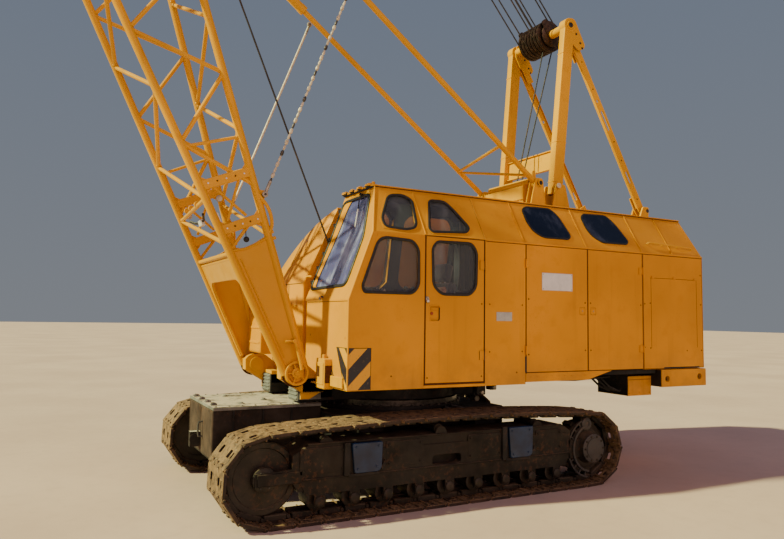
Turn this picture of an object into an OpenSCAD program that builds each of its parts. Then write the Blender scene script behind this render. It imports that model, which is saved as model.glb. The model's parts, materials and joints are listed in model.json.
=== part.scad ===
// Crawler crane with a lattice boom, at its real size, in millimetres.
// X runs fore and aft with the boom towards -X, Y runs across with the
// cab towards -Y, and Z is up. The tracks stand on Z = 0.
// Each module is written about the slewing axis and then moved by slew_x,
// so that the whole crane is centred over the origin.

/* [Tracks] */
// Distance from the slewing axis to the sprocket and to the idler
wheel_x = 2020; // [1900:10:2150]
// Radius of the loop over the shoes at the sprocket and idler
track_r = 435; // [425:5:445]
// Width of one shoe
shoe_w = 600; // [500:10:640]
// Thickness of the shoe plates
shoe_t = 40; // [34:2:48]
// Centre of each track from the centre line
track_y = 1300; // [1290:10:1320]
// Number of shoes on one loop
shoes = 62; // [54:1:66]
// Rise of the upper run over the middle carrier roller
track_arch = 60; // [20:5:70]

/* [Undercarriage] */
// Width of the link chain under the shoes
chain_w = 240; // [220:10:260]
// Depth of the link chain
chain_t = 50; // [44:2:54]
// Front end of the box between the tracks, ahead of the slewing axis
box_front = 2295; // [2200:5:2350]
// Width of that box
box_w = 1146; // [1000:2:1200]
// Top of that box above the ground
box_top = 999; // [990:1:1004]

/* [House] */
// Width of the house over its side walls
house_w = 3000; // [2980:10:3020]
// Underside of the house
house_z0 = 1223; // [1215:1:1230]
// Height at which the side walls start to lean inwards
eave_z = 2848; // [2800:2:2900]
// Height of the flat roof
roof_z = 3390; // [3350:5:3420]
// Width of the flat roof
roof_w = 2340; // [2300:10:2380]
// Thickness of the walls and doors
wall = 40; // [30:1:45]
// Front of the cab and of the hood beside it, ahead of the slewing axis
house_front = 1212; // [1200:2:1220]
// Rear wall behind the slewing axis
house_rear = 4114; // [4050:2:4130]

/* [Boom] */
// Angle of the boom above the horizontal at rest
boom_deg = 68.7; // [60:0.1:72]
// Length from the foot pins to the head axle
boom_len = 17500; // [17000:50:17500]
// Length of the tapering foot section
foot_len = 5750; // [5700:10:5800]
// Length of the parallel section above it
mid_len = 6000; // [5950:10:6050]
// Radius of the four chords
chord_r = 42; // [36:1:45]
// Radius of the lacing tubes
lace_r = 20; // [16:1:22]

/* [Gantry] */
// Height of the top axle of the gantry
gantry_z = 6141; // [6100:1:6180]
// Distance of that axle behind the slewing axis
gantry_x = 2532; // [2500:2:2560]
// Radius of the rope sheaves on the gantry
sheave_r = 230; // [200:5:240]

/* [Hook] */
// Drop from the head axle to the top of the hook block
hook_drop = 3400; // [2500:50:4500]

/* [Hidden] */

// Boom foot pins, about the slewing axis
pivot_x = -1500; pivot_z = 1357;
boom_tilt = boom_deg - 90;
head_len = boom_len - foot_len - mid_len;
// A point s up the boom and t ahead of its centre line, at rest
function bx(s, t) = pivot_x - s*cos(boom_deg) - t*sin(boom_deg);
function bz(s, t) = pivot_z + s*sin(boom_deg) - t*cos(boom_deg);
head_r = 300;                        // radius of the two head sheaves
front_x = bx(boom_len, 0) - head_r;  // foremost point of the crane
rear_x = 4156;                       // rearmost point, the counterweight
slew_x = -(front_x + rear_x)/2;      // slewing axis in the crane's frame

amber = [0.80, 0.50, 0.04];
dark = [0.10, 0.10, 0.11];
rust = [0.38, 0.30, 0.24];
steel = [0.55, 0.55, 0.56];
grey = [0.42, 0.41, 0.38];

// ---- helpers ----
module place() translate([slew_x, 0, 0]) children();
// An outline drawn in X and Z, from y0 to y1
module xz(y0, y1) translate([0, y1, 0]) rotate([90, 0, 0]) linear_extrude(y1 - y0) children();
// An outline drawn in Y and Z, from x0 to x1
module yz(x0, x1) translate([x0, 0, 0]) rotate([90, 0, 90]) linear_extrude(x1 - x0) children();
module box(a, b) translate(a) cube(b - a);
// A disc or shaft along Y
module ycyl(x, z, r, y0, y1, fn = 48) translate([x, y1, z]) rotate([90, 0, 0]) cylinder(h = y1 - y0, r = r, $fn = fn);
module both() { children(); mirror([0, 1, 0]) children(); }
// A round tube from p to q, turned about its own axis
module rod(p, q, r, fn = 32, turn = 0) {
    v = q - p; l = norm(v);
    translate(p) rotate([0, acos(v[2]/l), atan2(v[1], v[0])]) rotate([0, 0, turn]) cylinder(h = l, r = r, $fn = fn);
}
// A flat or square bar from p to q, w in the X-Z plane and t across it
module bar(p, q, w, t) {
    v = q - p; l = norm([v[0], 0, v[2]]);
    b = atan2(v[0], v[2]);
    multmatrix([[1, 0, 0, p[0]], [0, 1, 0, p[1]], [0, 0, 1, p[2]], [0, 0, 0, 1]])
        rotate([-atan2(v[1], l), b, 0]) translate([-w/2, -t/2, 0]) cube([w, t, norm(v)]);
}
// A frame whose local Z runs along a line that rises deg above -X
module line_frame(x, z, deg) translate([x, 0, z]) rotate([0, deg - 90, 0]) children();
// A slab with a rounded outline in X and Z
module rounded(x0, z0, x1, z1, r) {
    translate([x0 + r, z0]) square([x1 - x0 - 2*r, z1 - z0]);
    translate([x0, z0 + r]) square([x1 - x0, z1 - z0 - 2*r]);
    for (x = [x0 + r, x1 - r], z = [z0 + r, z1 - r]) translate([x, z]) circle(r, $fn = 24);
}

// ---- tracks ----
track_len = 4*wheel_x + 2*PI*track_r;
// The loop's path, s along it from the idler's foot, set in by d
function track_pt(s, d) =
    let (r = track_r, a1 = 2*wheel_x, a2 = a1 + PI*r, a3 = a2 + 2*wheel_x)
    s < a1 ? [s - wheel_x, d]
    : s < a2 ? let (a = (s - a1)/r*180/PI - 90) [wheel_x + (r - d)*cos(a), r + (r - d)*sin(a)]
    : s < a3 ? let (x = wheel_x - (s - a2)) [x, 2*r - d + track_arch*(1 - pow(x/wheel_x, 2))]
    : let (a = (s - a3)/r*180/PI + 90) [-wheel_x + (r - d)*cos(a), r + (r - d)*sin(a)];
module track_ring(d0, d1, n) difference() {
    polygon([for (i = [0:n - 1]) track_pt(track_len*i/n, d0)]);
    polygon([for (i = [0:n - 1]) track_pt(track_len*i/n, d1)]);
}
module track(side) place() color(rust) {
    pitch = track_len/shoes;
    // part of one pitch, depth of the outline there
    shoe = [[0.03, 0], [0.90, 0], [0.93, 20], [1.00, 20]];
    yc = side*track_y;
    xz(yc - shoe_w/2, yc + shoe_w/2) difference() {
        polygon([for (i = [0:shoes - 1], k = shoe) track_pt((i + k[0])*pitch, k[1])]);
        polygon([for (i = [0:119]) track_pt(track_len*i/120, shoe_t)]);
    }
    xz(yc - chain_w/2, yc + chain_w/2) track_ring(shoe_t - 3, shoe_t + chain_t, 120);
}
module track_left() track(-1);
module track_right() track(1);

frame_z0 = 300; frame_z1 = 740;
roller_n = 9; roller_x0 = -1480; roller_dx = 370; roller_r = 92;
roller_z = shoe_t + chain_t + roller_r + 4;
module track_frame(side) place() color(dark) mirror([0, side < 0 ? 1 : 0, 0]) difference() {
    union() {
        // side beam with tapered ends
        xz(1100, 1500) polygon([[-1700, frame_z0], [1640, frame_z0], [1700, 420], [1700, 660],
            [1560, frame_z1], [-1560, frame_z1], [-1760, 640], [-1760, 400]]);
        // skirts that carry the bottom rollers
        for (y = [1090, 1490]) xz(y, y + 20) polygon([[-1620, 262], [1620, 262], [1680, 420], [1640, 640], [-1640, 640], [-1700, 420]]);
        for (y = [1090, 1490], i = [0:roller_n - 1]) box([roller_x0 + i*roller_dx - 55, y, 140], [roller_x0 + i*roller_dx + 55, y + 20, 270]);
        // forks for the idler and for the sprocket
        for (y = [1100, 1460]) {
            xz(y, y + 40) polygon([[-2120, 380], [-1600, 380], [-1600, 520], [-2120, 500]]);
            xz(y, y + 40) polygon([[1600, 330], [2110, 350], [2110, 520], [1600, 560]]);
        }
        // stands of the carrier rollers
        for (c = [[-1416, 24], [-104, 54], [1206, 33]]) box([c[0] - 40, 1112, frame_z1 - 10], [c[0] + 40, 1142, carrier_z(c[1]) + 34]);
    }
    // long hole through the outer face
    xz(1400, 1520) rounded(-225, 414, 153, 532, 58);
}
carrier_r = 48;
// Height of a carrier roller where the loop has risen by c
function carrier_z(c) = 2*track_r + c - shoe_t - chain_t - carrier_r - 2;
module track_frame_left() track_frame(-1);
module track_frame_right() track_frame(1);

module drive_sprockets() place() color(dark) both() {
    difference() {
        union() {
            ycyl(wheel_x, track_r, 300, 1210, 1390, 64);
            // teeth that drive the links
            for (i = [0:10]) translate([wheel_x, 0, track_r]) rotate([0, i*360/11, 0]) translate([-30, 1230, 0]) cube([60, 140, 338]);
        }
        ycyl(wheel_x, track_r, 230, 1365, 1401);
        ycyl(wheel_x, track_r, 230, 1199, 1235);
    }
    ycyl(wheel_x, track_r, 150, 1145, 1545);
}
module front_idlers() place() color(dark) both() {
    difference() {
        ycyl(-wheel_x, track_r, 340, 1225, 1375, 64);
        ycyl(-wheel_x, track_r, 270, 1355, 1401);
        ycyl(-wheel_x, track_r, 270, 1199, 1245);
    }
    ycyl(-wheel_x, track_r, 110, 1142, 1458);
    ycyl(-wheel_x, track_r, 60, 1102, 1498);
}
module bottom_rollers() place() color(dark) both() for (i = [0:roller_n - 1]) {
    x = roller_x0 + i*roller_dx;
    ycyl(x, roller_z, roller_r, 1175, 1425);
    ycyl(x, roller_z, 36, 1110, 1490, 32);
}
module carrier_rollers() place() color(dark) both() for (c = [[-1416, 24], [-104, 54], [1206, 33]]) {
    z = carrier_z(c[1]);
    ycyl(c[0], z, carrier_r, 1180, 1450);
    ycyl(c[0], z, 24, 1142, 1465, 32);
}
module travel_drives() place() color(dark) both() {
    ycyl(wheel_x, track_r, 190, 930, 1145);
    ycyl(wheel_x, track_r, 130, 690, 930);
    ycyl(wheel_x, track_r, 120, 1545, 1575);
}

// ---- carbody ----
module carbody() place() color(dark) difference() {
    union() {
        box([-1100, -870, 330], [1180, 870, 900]);
        // cross beams to the track frames
        for (x = [-860, 620]) box([x, -1090, 380], [x + 260, 1090, 800]);
        // ring seat
        translate([0, 0, 890]) cylinder(h = 66, r = 930, $fn = 96);
        box([1170, -430, 400], [1420, 430, 840]);
        // rear towing eye plate
        box([1400, -40, 480], [1560, 40, 620]);
    }
    ycyl(1500, 550, 32, -60, 60, 32);
    translate([0, 0, 300]) cylinder(h = 700, r = 260, $fn = 64);
}
module front_box() place() color(grey) difference() {
    union() {
        box([-box_front, -box_w/2, 450], [-1110, box_w/2, box_top - 12]);
        box([-box_front - 6, -box_w/2 - 6, box_top - 12], [-1110, box_w/2 + 6, box_top]);
        box([-box_front - 120, -40, 520], [-box_front + 10, 40, 680]);
    }
    ycyl(-box_front - 66, 600, 32, -60, 60, 32);
}
module slew_ring() place() color(steel) difference() {
    translate([0, 0, 956]) cylinder(h = 62, r = 900, $fn = 96);
    translate([0, 0, 950]) cylinder(h = 80, r = 640, $fn = 96);
}

// ---- revolving frame ----
module revolving_frame() place() color(dark) {
    difference() {
        union() {
            // deck
            box([-1190, -1440, house_z0 + 22], [3240, 1440, house_z0 + 77]);
            box([3230, -1440, house_z0 + 117], [4050, 1440, house_z0 + 147]);
            // long girders
            both() {
                box([-1400, 337, 1030], [3260, 640, house_z0 + 30]);
                box([3200, 420, 1140], [3275, 640, house_z0 + 120]);
                // boom foot brackets
                xz(610, 740) polygon([[-1150, 1140], [-1395, 1140], [-1640, 1290], [-1640, 1420], [-1580, 1480], [-1420, 1480], [-1225, 1340], [-1150, 1300]]);
                xz(337, 740) polygon([[-1150, 1140], [-1395, 1140], [-1395, house_z0 + 70], [-1150, house_z0 + 70]]);
            }
            // cross members, and the ring above the slewing bearing
            box([-1150, -640, 1060], [-1000, 640, house_z0 + 30]);
            translate([0, 0, 1026]) cylinder(h = house_z0 - 996, r = 880, $fn = 96);
        }
        ycyl(pivot_x, pivot_z, 51, -760, 760);
        translate([0, 0, 1000]) cylinder(h = 400, r = 250, $fn = 64);
    }
}

// ---- house ----
hw2 = house_w/2; rw2 = roof_w/2;
// Half profile across the house, set in by d
function house_side(d) = let (k = d*0.29) [[-hw2 + d, house_z0 - 5], [-hw2 + d, eave_z - k], [-rw2 + d*0.55, roof_z - d],
    [rw2 - d*0.55, roof_z - d], [hw2 - d, eave_z - k], [hw2 - d, house_z0 - 5]];
front_top = -780;   // front edge of the roof
knee_z = 2200;      // top of the upright front
// Outline of the house seen from the side, set in by d
function house_long(d) = [[-house_front + d, house_z0], [-house_front + d, knee_z], [front_top + d*1.25, roof_z + 5 - (d > 0 ? d + 5 : 0)],
    [house_rear - 64 - d, roof_z + 5 - (d > 0 ? d + 5 : 0)], [house_rear - d, eave_z], [house_rear - d, 1348 - d], [2390, 1348 - d],
    [1990, house_z0 + 23 - d], [1035, house_z0 + 23 - d], [1035, house_z0 - d]];
module house_solid(d, x0, x1, y0, y1) intersection() {
    yz(x0, x1) polygon(house_side(d));
    xz(y0, y1) polygon(house_long(d));
}
deck_z = house_z0 + 77;    // floor of the cab and of the house
body_x = 1035;             // front wall of the full-width house
// Service doors: front seam, rear seam
door_a = [body_x, 1996]; door_b = [1996, 2951];
door_z = [1352, eave_z - 6];
module house_body() place() color(amber) difference() {
    difference() {
        house_solid(0, body_x, house_rear + 1, -hw2 - 1, hw2 + 1);
        translate([0, 0, -wall]) house_solid(wall, body_x + wall, house_rear, -hw2, hw2);
        intersection() {
            house_solid(wall, body_x + wall, house_rear, -hw2, hw2);
            box([body_x + wall, -hw2, house_z0 - 1], [house_rear, hw2, roof_z - wall - 5]);
        }
    }
    // way through to the hood
    box([body_x - 20, -100, deck_z + 10], [body_x + 60, 900, 2300]);
    // door openings
    for (d = [door_a, door_b]) {
        box([d[0] + 26, -hw2 - 5, door_z[0] + 26], [d[1] - 26, -hw2 + wall + 120, door_z[1] - 26]);
        box([d[0] + 26, hw2 - wall - 120, door_z[0] + 26], [d[1] - 26, hw2 + 5, door_z[1] - 26]);
    }
    // rebate in which the doors lie flush
    for (y = [-hw2 - 5, hw2 - wall - 4]) box([door_a[0] - 4, y, door_z[0] - 4], [door_b[1] + 4, y + wall + 9, door_z[1] + 4]);
    // the open underside over the deck
    box([-1196, -hw2 + wall, house_z0 - 20], [3250, hw2 - wall, deck_z + 5]);
}
// Hood over the winches, beside the cab with an open channel between them
hood_y = -190;      // its side towards the cab
hood_top = 3283;    // its height on that side
function hood_side(d) = [[hood_y + d, house_z0 - 5], [hood_y + d, hood_top - d*1.3], [180 - d*0.3, 3190 - d], [520 - d*0.5, 3030 - d*0.9],
    [770 - d*0.7, 2820 - d*0.7], [930 - d*0.9, 2600 - d*0.5], [1020 - d, 2360 - d*0.2], [1040 - d, 2150 - d], [hw2 - d, 2080 - d], [hw2 - d, house_z0 - 5]];
function hood_long(d) = [[-house_front + d, house_z0 - (d > 0 ? 5 : 0)], [-house_front + d, 2350 - d*0.2], [-790 + d*0.9, hood_top + 5],
    [body_x - 6 + (d > 0 ? 5 : 0), hood_top + 5], [body_x - 6 + (d > 0 ? 5 : 0), house_z0 - (d > 0 ? 5 : 0)]];
module hood_solid(d) intersection() {
    yz(-house_front - 10, body_x + 10) polygon(hood_side(d));
    xz(hood_y - 10, hw2 + 10) polygon(hood_long(d));
}
module front_hood() place() color(amber) {
    difference() {
        hood_solid(0);
        hood_solid(wall);
        box([-1196, hood_y - 10, house_z0 - 20], [body_x + 10, hw2 - wall, deck_z + 3]);
    }
    // cover of the winch gear, between the legs of the boom
    difference() {
        box([-1590, 190, 1500], [-house_front + 5, 700, 2110]);
        box([-1565, 215, 1490], [-house_front - 5, 675, 2085]);
    }
}

// ---- cab ----
// Windows: outline in X and Z
win_front = [[-1080, 2276], [-1054, 2203], [-471, 2205], [-392, 2301], [-398, 2691], [-480, 2787], [-890, 2805]];
win_door = [[-238, 2306], [-125, 2207], [257, 2211], [344, 2311], [352, 2704], [272, 2806], [-188, 2799], [-252, 2716]];
win_up1 = [[-657, 3300], [-459, 3320], [-350, 3260], [-389, 2972], [-429, 2915], [-542, 2880], [-808, 2900], [-820, 3004]];
win_up2 = [[-142, 3290], [79, 3295], [178, 3176], [304, 2978], [229, 2907], [-234, 2880], [-265, 2929]];
cab_in = 50;
cab_x1 = body_x - 6;
cab_back = 780;     // rear wall of the cab's inside
cab_y = -330;       // right-hand wall at the foot
cab_top_y = -540;   // and at the roof
win_far1 = [[-1085, 2420], [-1030, 2300], [-300, 2300], [-215, 2390], [-205, 3140], [-290, 3240], [-800, 3240]];
win_far2 = [[-60, 2390], [20, 2300], [600, 2300], [680, 2380], [680, 3120], [600, 3230], [40, 3240], [-60, 3140]];
function cab_side(d) = [[-hw2 + d, house_z0], [-hw2 + d, eave_z - d*0.3], [-rw2 + d*0.55, roof_z - d], [cab_top_y - d, roof_z - d], [cab_y - d, 2280 - d*0.1], [cab_y - d, house_z0]];
function cab_long(d) = [[-house_front + d, house_z0], [-house_front + d, 2140 - d*0.2], [-951 + d, eave_z], [front_top + d*1.1, roof_z - d],
    [cab_x1 - d, roof_z - d], [cab_x1 - d, house_z0]];
module cab_shell() place() color(amber) difference() {
    intersection() {
        yz(-house_front - 1, cab_x1) polygon(cab_side(0));
        xz(-hw2 - 1, cab_y + 1) polygon(cab_long(0));
    }
    intersection() {
        yz(-house_front, cab_back - cab_in) polygon(cab_side(cab_in));
        xz(-hw2, cab_y) polygon(cab_long(cab_in));
    }
    // space behind the cab
    yz(cab_back, cab_x1 + 5) polygon(cab_side(cab_in));
    // room for the deck
    box([-1196, -1448, house_z0 - 5], [cab_x1 + 5, cab_y + 5, deck_z + 3]);
    // door opening, with the rebate in which the door lies
    box([-328, -hw2 - 5, 1264], [455, -hw2 + wall + 6, eave_z + 1]);
    box([-300, -hw2 - 5, 1292], [424, -hw2 + 80, eave_z - 24]);
    xz(-hw2 - 5, -hw2 + 80) polygon(win_front);
    xz(-hw2 - 5, -rw2 + 120) { polygon(win_up1); polygon(win_up2); }
    // windscreen
    yz(-house_front - 5, -760) polygon([[-1310, 2275], [-1310, 2790], [-1120, 3300], [-610, 3300], [-400, 2275]]);
    // windows of the right-hand wall
    xz(-640, cab_y + 5) { polygon(win_far1); polygon(win_far2); }
}
module cab_door() place() color(amber) {
    difference() {
        box([-323, -hw2, 1268], [444, -hw2 + wall, eave_z - 4]);
        xz(-hw2 - 5, -hw2 + wall + 5) polygon(win_door);
        // recessed handle
        xz(-hw2 - 5, -hw2 + 22) rounded(-262, 1936, -140, 2090, 20);
    }
    for (z = [1500, 2500]) translate([450, -hw2 - 14, z]) cylinder(h = 120, r = 13, $fn = 24);
    for (z = [1500, 2500]) box([380, -hw2 - 10, z + 10], [446, -hw2 + 2, z + 110]);
}
module operator_seat() place() color(dark) {
    box([-300, -1180, deck_z], [100, -760, 1560]);
    box([-420, -1240, 1560], [120, -720, 1700]);
    xz(-1220, -740) polygon([[20, 1700], [150, 1700], [290, 2360], [180, 2390]]);
    xz(-1100, -860) polygon([[175, 2392], [285, 2362], [320, 2560], [215, 2580]]);
}
module cab_controls() place() color(grey) {
    box([-520, -700, deck_z], [60, -540, 1840]);
    box([-520, -1400, deck_z], [-120, -1260, 1840]);
    for (y = [-620, -1330]) rod([-400, y, 1835], [-450, y, 2120], 14, 16);
    for (y = [-1040, -900]) box([-1120, y - 50, deck_z], [-1000, y + 50, 1420]);
}
module engine_block() place() color(grey) box([2150, -480, deck_z], [3150, 480, 2200]);

// One flush service door on the left; hx is the hinged edge
module service_door(x0, x1, hx) {
    difference() {
        box([x0 + 3, -hw2, door_z[0]], [x1 - 3, -hw2 + wall, door_z[1]]);
        // recessed latch near the free edge
        xz(-hw2 - 5, -hw2 + 20) let (c = hx == x0 ? x1 - 90 : x0 + 90) rounded(c - 45, 2030, c + 45, 2120, 16);
    }
    for (z = [1560, 2560]) translate([hx, -hw2 - 14, z]) cylinder(h = 100, r = 13, $fn = 24);
    for (z = [1570, 2570]) box([hx == x0 ? x0 + 4 : x1 - 70, -hw2 - 10, z], [hx == x0 ? x0 + 70 : x1 - 4, -hw2 + 2, z + 80]);
}
module left_front_service_door() place() color(amber) service_door(door_a[0], door_a[1], door_a[0]);
module left_rear_service_door() place() color(amber) service_door(door_b[0], door_b[1], door_b[1]);
module right_front_service_door() place() color(amber) mirror([0, 1, 0]) service_door(door_a[0], door_a[1], door_a[0]);
module right_rear_service_door() place() color(amber) mirror([0, 1, 0]) service_door(door_b[0], door_b[1], door_b[1]);

module counterweight() place() color(amber) difference() {
    box([3283, -1498, 1110], [rear_x, 1498, 1336]);
    for (x = [3560, 3950]) ycyl(x, 1235, 40, -1510, 1510, 32);
}
module valve_box() place() color(amber) box([2854, -1330, 995], [3276, -800, house_z0 + 22]);

// ---- gantry ----
stop_x = 1950; stop_z = 3800; stop_y = 600;
module roof_brackets() place() color(amber) difference() {
    union() {
        both() {
            // long rails on the roof
            box([1780, 480, roof_z - 2], [4040, 660, roof_z + 90]);
            // ears of the front legs
            for (y = [440, 660]) xz(y, y + 26) polygon([[2140, roof_z - 2], [2500, roof_z - 2], [2390, 3820], [2230, 3820]]);
            // ears of the rear struts
            for (y = [466, 640]) xz(y, y + 26) polygon([[3820, roof_z - 2], [4040, roof_z - 2], [4050, 3660], [3930, 3660]]);
            // ears of the backstops
            for (y = [535, 640]) xz(y, y + 25) polygon([[1780, roof_z - 2], [2080, roof_z - 2], [2010, 3880], [1890, 3880]]);
        }
        // cross box ahead of the gantry
        box([1850, -440, 3600], [2000, 440, 3800]);
        both() box([1870, 330, roof_z - 2], [1980, 420, 3610]);
        ycyl(1925, 3840, 50, -500, 400, 32);
    }
    for (s = [-1, 1]) ycyl(stop_x, stop_z, 31, s*stop_y - 100, s*stop_y + 100, 32);
}
module gantry_front_frame() place() color(amber) {
    both() bar([2310, 563, 3700], [gantry_x, 590, gantry_z + 20], 180, 110);
    both() ycyl(2310, 3740, 45, 440, 686, 32);
    ycyl(gantry_x, gantry_z, 62, -660, 660);
    both() ycyl(gantry_x, gantry_z, 105, 530, 650);
    // tie plate between the legs
    bar([2352, 0, 4070], [2377, 0, 4350], 30, 1040);
}
module gantry_rear_struts() place() color(amber) difference() {
    both() for (y = [508, 590]) bar([3990, y, 3590], [gantry_x + 104, y + 12, gantry_z - 186], 124, 22);
    // nothing else is cut here
    box([0, 0, 0], [1, 1, 1]);
}
module gantry_sheaves() place() color(steel) difference() {
    union() {
        for (i = [-3:3]) ycyl(gantry_x, gantry_z, sheave_r, i*66 - 14, i*66 + 14, 64);
        ycyl(gantry_x, gantry_z, 100, -230, 230);
    }
    ycyl(gantry_x, gantry_z, 62, -260, 260);
}

// ---- boom ----
hd0 = 110; hd1 = 566; hd2 = 250;     // half depth at foot, middle and head
hw0 = 800; hw1 = 527; hw3 = 300;     // half width at foot, middle and head
s1 = foot_len; s2 = foot_len + mid_len; s3 = boom_len - 350;
function hd(s) = s < s1 ? hd0 + (hd1 - hd0)*s/s1 : s < s2 ? hd1 : hd1 + (hd2 - hd1)*(s - s2)/(s3 - s2);
function hw(s) = s < s1 ? hw0 + (hw1 - hw0)*s/s1 : s < s2 ? hw1 : hw1 + (hw3 - hw1)*(s - s2)/(s3 - s2);
// A point on a chord: t = 1 front or -1 rear, w = 1 right or -1 left
function ch(s, t, w) = [-t*hd(s), w*hw(s), s];
module boom_frame() place() line_frame(pivot_x, pivot_z, boom_deg) children();
module chords(a, b) for (t = [-1, 1], w = [-1, 1]) rod(ch(a, t, w), ch(b, t, w), chord_r, 32, 200);
// Lacing from a to b in n panels: a zigzag on each face, half a panel apart
// from one face to the next
module lacing(a, b, n) {
    p = (b - a)/n;
    // sides: left from the rear chord, right from the front one
    for (i = [0:n - 1], w = [-1, 1]) {
        rod(ch(a + i*p, w, w), ch(a + (i + 0.5)*p, -w, w), lace_r, 8);
        rod(ch(a + (i + 0.5)*p, -w, w), ch(a + (i + 1)*p, w, w), lace_r, 8);
    }
    // front from the left chord, rear from the right one
    for (i = [0:n - 1], t = [-1, 1]) {
        rod(ch(a + i*p, t, -t), ch(a + (i + 0.5)*p, t, t), lace_r, 8);
        rod(ch(a + (i + 0.5)*p, t, t), ch(a + (i + 1)*p, t, -t), lace_r, 8);
    }
}
// Square frame that ends a section
module end_frame(s) for (k = [-1, 1]) {
    rod(ch(s, k, -1), ch(s, k, 1), lace_r + 4, 8);
    rod(ch(s, -1, k), ch(s, 1, k), lace_r + 4, 8);
}
plate_s = 1400;                       // top of the foot's side plates
stop_s = 6620; stop_t = 634;          // backstop pins, up the boom and behind its centre line
// Sloping plane of the boom's left and right sides near the foot
module foot_side() both() translate([0, hw0, 0]) rotate([atan((hw0 - hw1)/s1), 0, 0]) children();
module boom_foot_section() boom_frame() color(amber) {
    chords(30, s1);
    lacing(2030, s1 - 40, 3);
    end_frame(s1 - 40);
    rod(ch(2030, 1, -1), ch(2030, 1, 1), lace_r, 8);
    foot_side() {
        // side plates from the foot pins to the first lacing
        xz(-12, 12) polygon([[-hd(100), 60], [-hd(plate_s - 40), plate_s - 40], [hd(plate_s), plate_s], [hd(100), 60], [60, -100], [-60, -100]]);
        // beams between the chords
        for (s = [1615, 2115]) xz(-12, 12) polygon([[-hd(s), s], [-hd(s + 130), s + 130], [hd(s + 130), s + 130], [hd(s), s]]);
    }
    both() ycyl(0, 0, 130, 752, 845);
    both() ycyl(0, 0, 50, 605, 850);
    // portal plate on the front face, arched between the legs
    translate([-hd0, 0, 0]) rotate([0, -atan((hd1 - hd0)/s1), 0])
        translate([-10, 0, 0]) rotate([90, 0, 90]) linear_extrude(20) difference() {
            polygon([[-hw(150), 150], [-hw(1350), 1350], [hw(1350), 1350], [hw(150), 150]]);
            polygon([[-hw(100) + 95, 100], [-hw(1000) + 95, 1000], [-hw(1060) + 115, 1070], [-hw(1100) + 170, 1125], [-hw(1140) + 250, 1140],
                [hw(1140) - 250, 1140], [hw(1100) - 170, 1125], [hw(1060) - 115, 1070], [hw(1000) - 95, 1000], [hw(100) - 95, 100]]);
        }
    // brackets of the hanger rods
    both() ycyl(hd(1900) + 78, 1900, 24, hw(1900) - 60, hw(1900) + 2, 24);
    both() box([hd(1900), hw(1900) - 26, 1860], [hd(1900) + 112, hw(1900) - 8, 1940]);
}
module boom_middle_section() boom_frame() color(amber) {
    chords(s1, s2);
    lacing(s1 + 40, s2 - 40, 5);
    end_frame(s1 + 40);
    end_frame(s2 - 40);
    // lugs of the backstops on the rear chords
    both() ycyl(stop_t, stop_s, 62, hw1 - 22, 566);
    both() xz(hw1 - 12, hw1 + 12) polygon([[hd1 - 10, stop_s - 120], [stop_t + 20, stop_s - 50], [stop_t + 20, stop_s + 50], [hd1 - 10, stop_s + 120]]);
}
pend_s = 17300; pend_t = 330;        // pendant pins, up the boom and behind its centre line
guide_s = 16700; guide_t = 440;      // guide roller of the hoist rope
guide_r = 90;
rope_y = -260;                       // plane of the hoist rope
module boom_head_section() boom_frame() color(amber) {
    chords(s2, s3);
    lacing(s2 + 40, s3 - 400, 4);
    end_frame(s2 + 40);
    end_frame(s3 - 400);
    // head plates
    difference() {
        for (y = [-346, 316]) xz(y, y + 30) {
            polygon([[-hd(16650), 16650], [-hd(17000), 17000], [-160, boom_len], [-90, boom_len + 130], [90, boom_len + 130], [pend_t + 60, pend_s + 70],
                [pend_t + 70, pend_s - 60], [guide_t + 60, guide_s - 60], [hd(16650), 16640]]);
        }
        // foot pin holes for a jib
        ycyl(-130, 17060, 28, -360, 360, 32);
    }
    ycyl(0, boom_len, 55, -362, 362);
    both() ycyl(pend_t, pend_s, 45, 300, 372, 32);
    ycyl(guide_t, guide_s, 32, -330, 330, 32);
    both() rod([-hd(16900), 290, 16900], [hd(16900), 290, 16900], 30, 16);
}
module head_sheaves() boom_frame() color(steel) difference() {
    union() {
        for (y = [-200, 200]) ycyl(0, boom_len, head_r, y - 24, y + 24, 64);
        for (y = [-200, 200]) ycyl(0, boom_len, 90, y - 60, y + 60);
        ycyl(guide_t, guide_s, guide_r, rope_y - 24, rope_y + 24);
    }
    ycyl(0, boom_len, 55, -400, 400);
    ycyl(guide_t, guide_s, 32, -400, 400, 32);
}

// ---- backstops ----
stop_px = bx(stop_s, -stop_t); stop_pz = bz(stop_s, -stop_t);
stop_len = norm([stop_px - stop_x, stop_pz - stop_z]);
stop_deg = atan2(stop_pz - stop_z, stop_x - stop_px);
module stop_frame() place() line_frame(stop_x, stop_z, stop_deg) children();
module backstop_tubes() stop_frame() color(amber) {
    both() difference() {
        union() {
            translate([0, stop_y, 20]) cylinder(h = stop_len - 900, r = 36, $fn = 32);
            ycyl(0, 0, 62, stop_y - 39, stop_y + 39, 32);
        }
        // hollow upper end
        translate([0, stop_y, 1300]) cylinder(h = stop_len, r = 26, $fn = 32);
    }
    both() ycyl(0, 0, 30, stop_y - 66, stop_y + 66, 32);
    // two braces between the tubes
    rod([0, stop_y - 12, 570], [0, 12 - stop_y, 750], 17, 16);
    rod([0, stop_y - 12, 540], [0, 12 - stop_y, 180], 17, 16);
}
module backstop_middle_stages() stop_frame() color(steel) both() translate([0, stop_y, 3760]) difference() {
    cylinder(h = 2200, r = 50, $fn = 32);
    translate([0, 0, -1]) cylinder(h = 2202, r = 39, $fn = 32);
}
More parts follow.
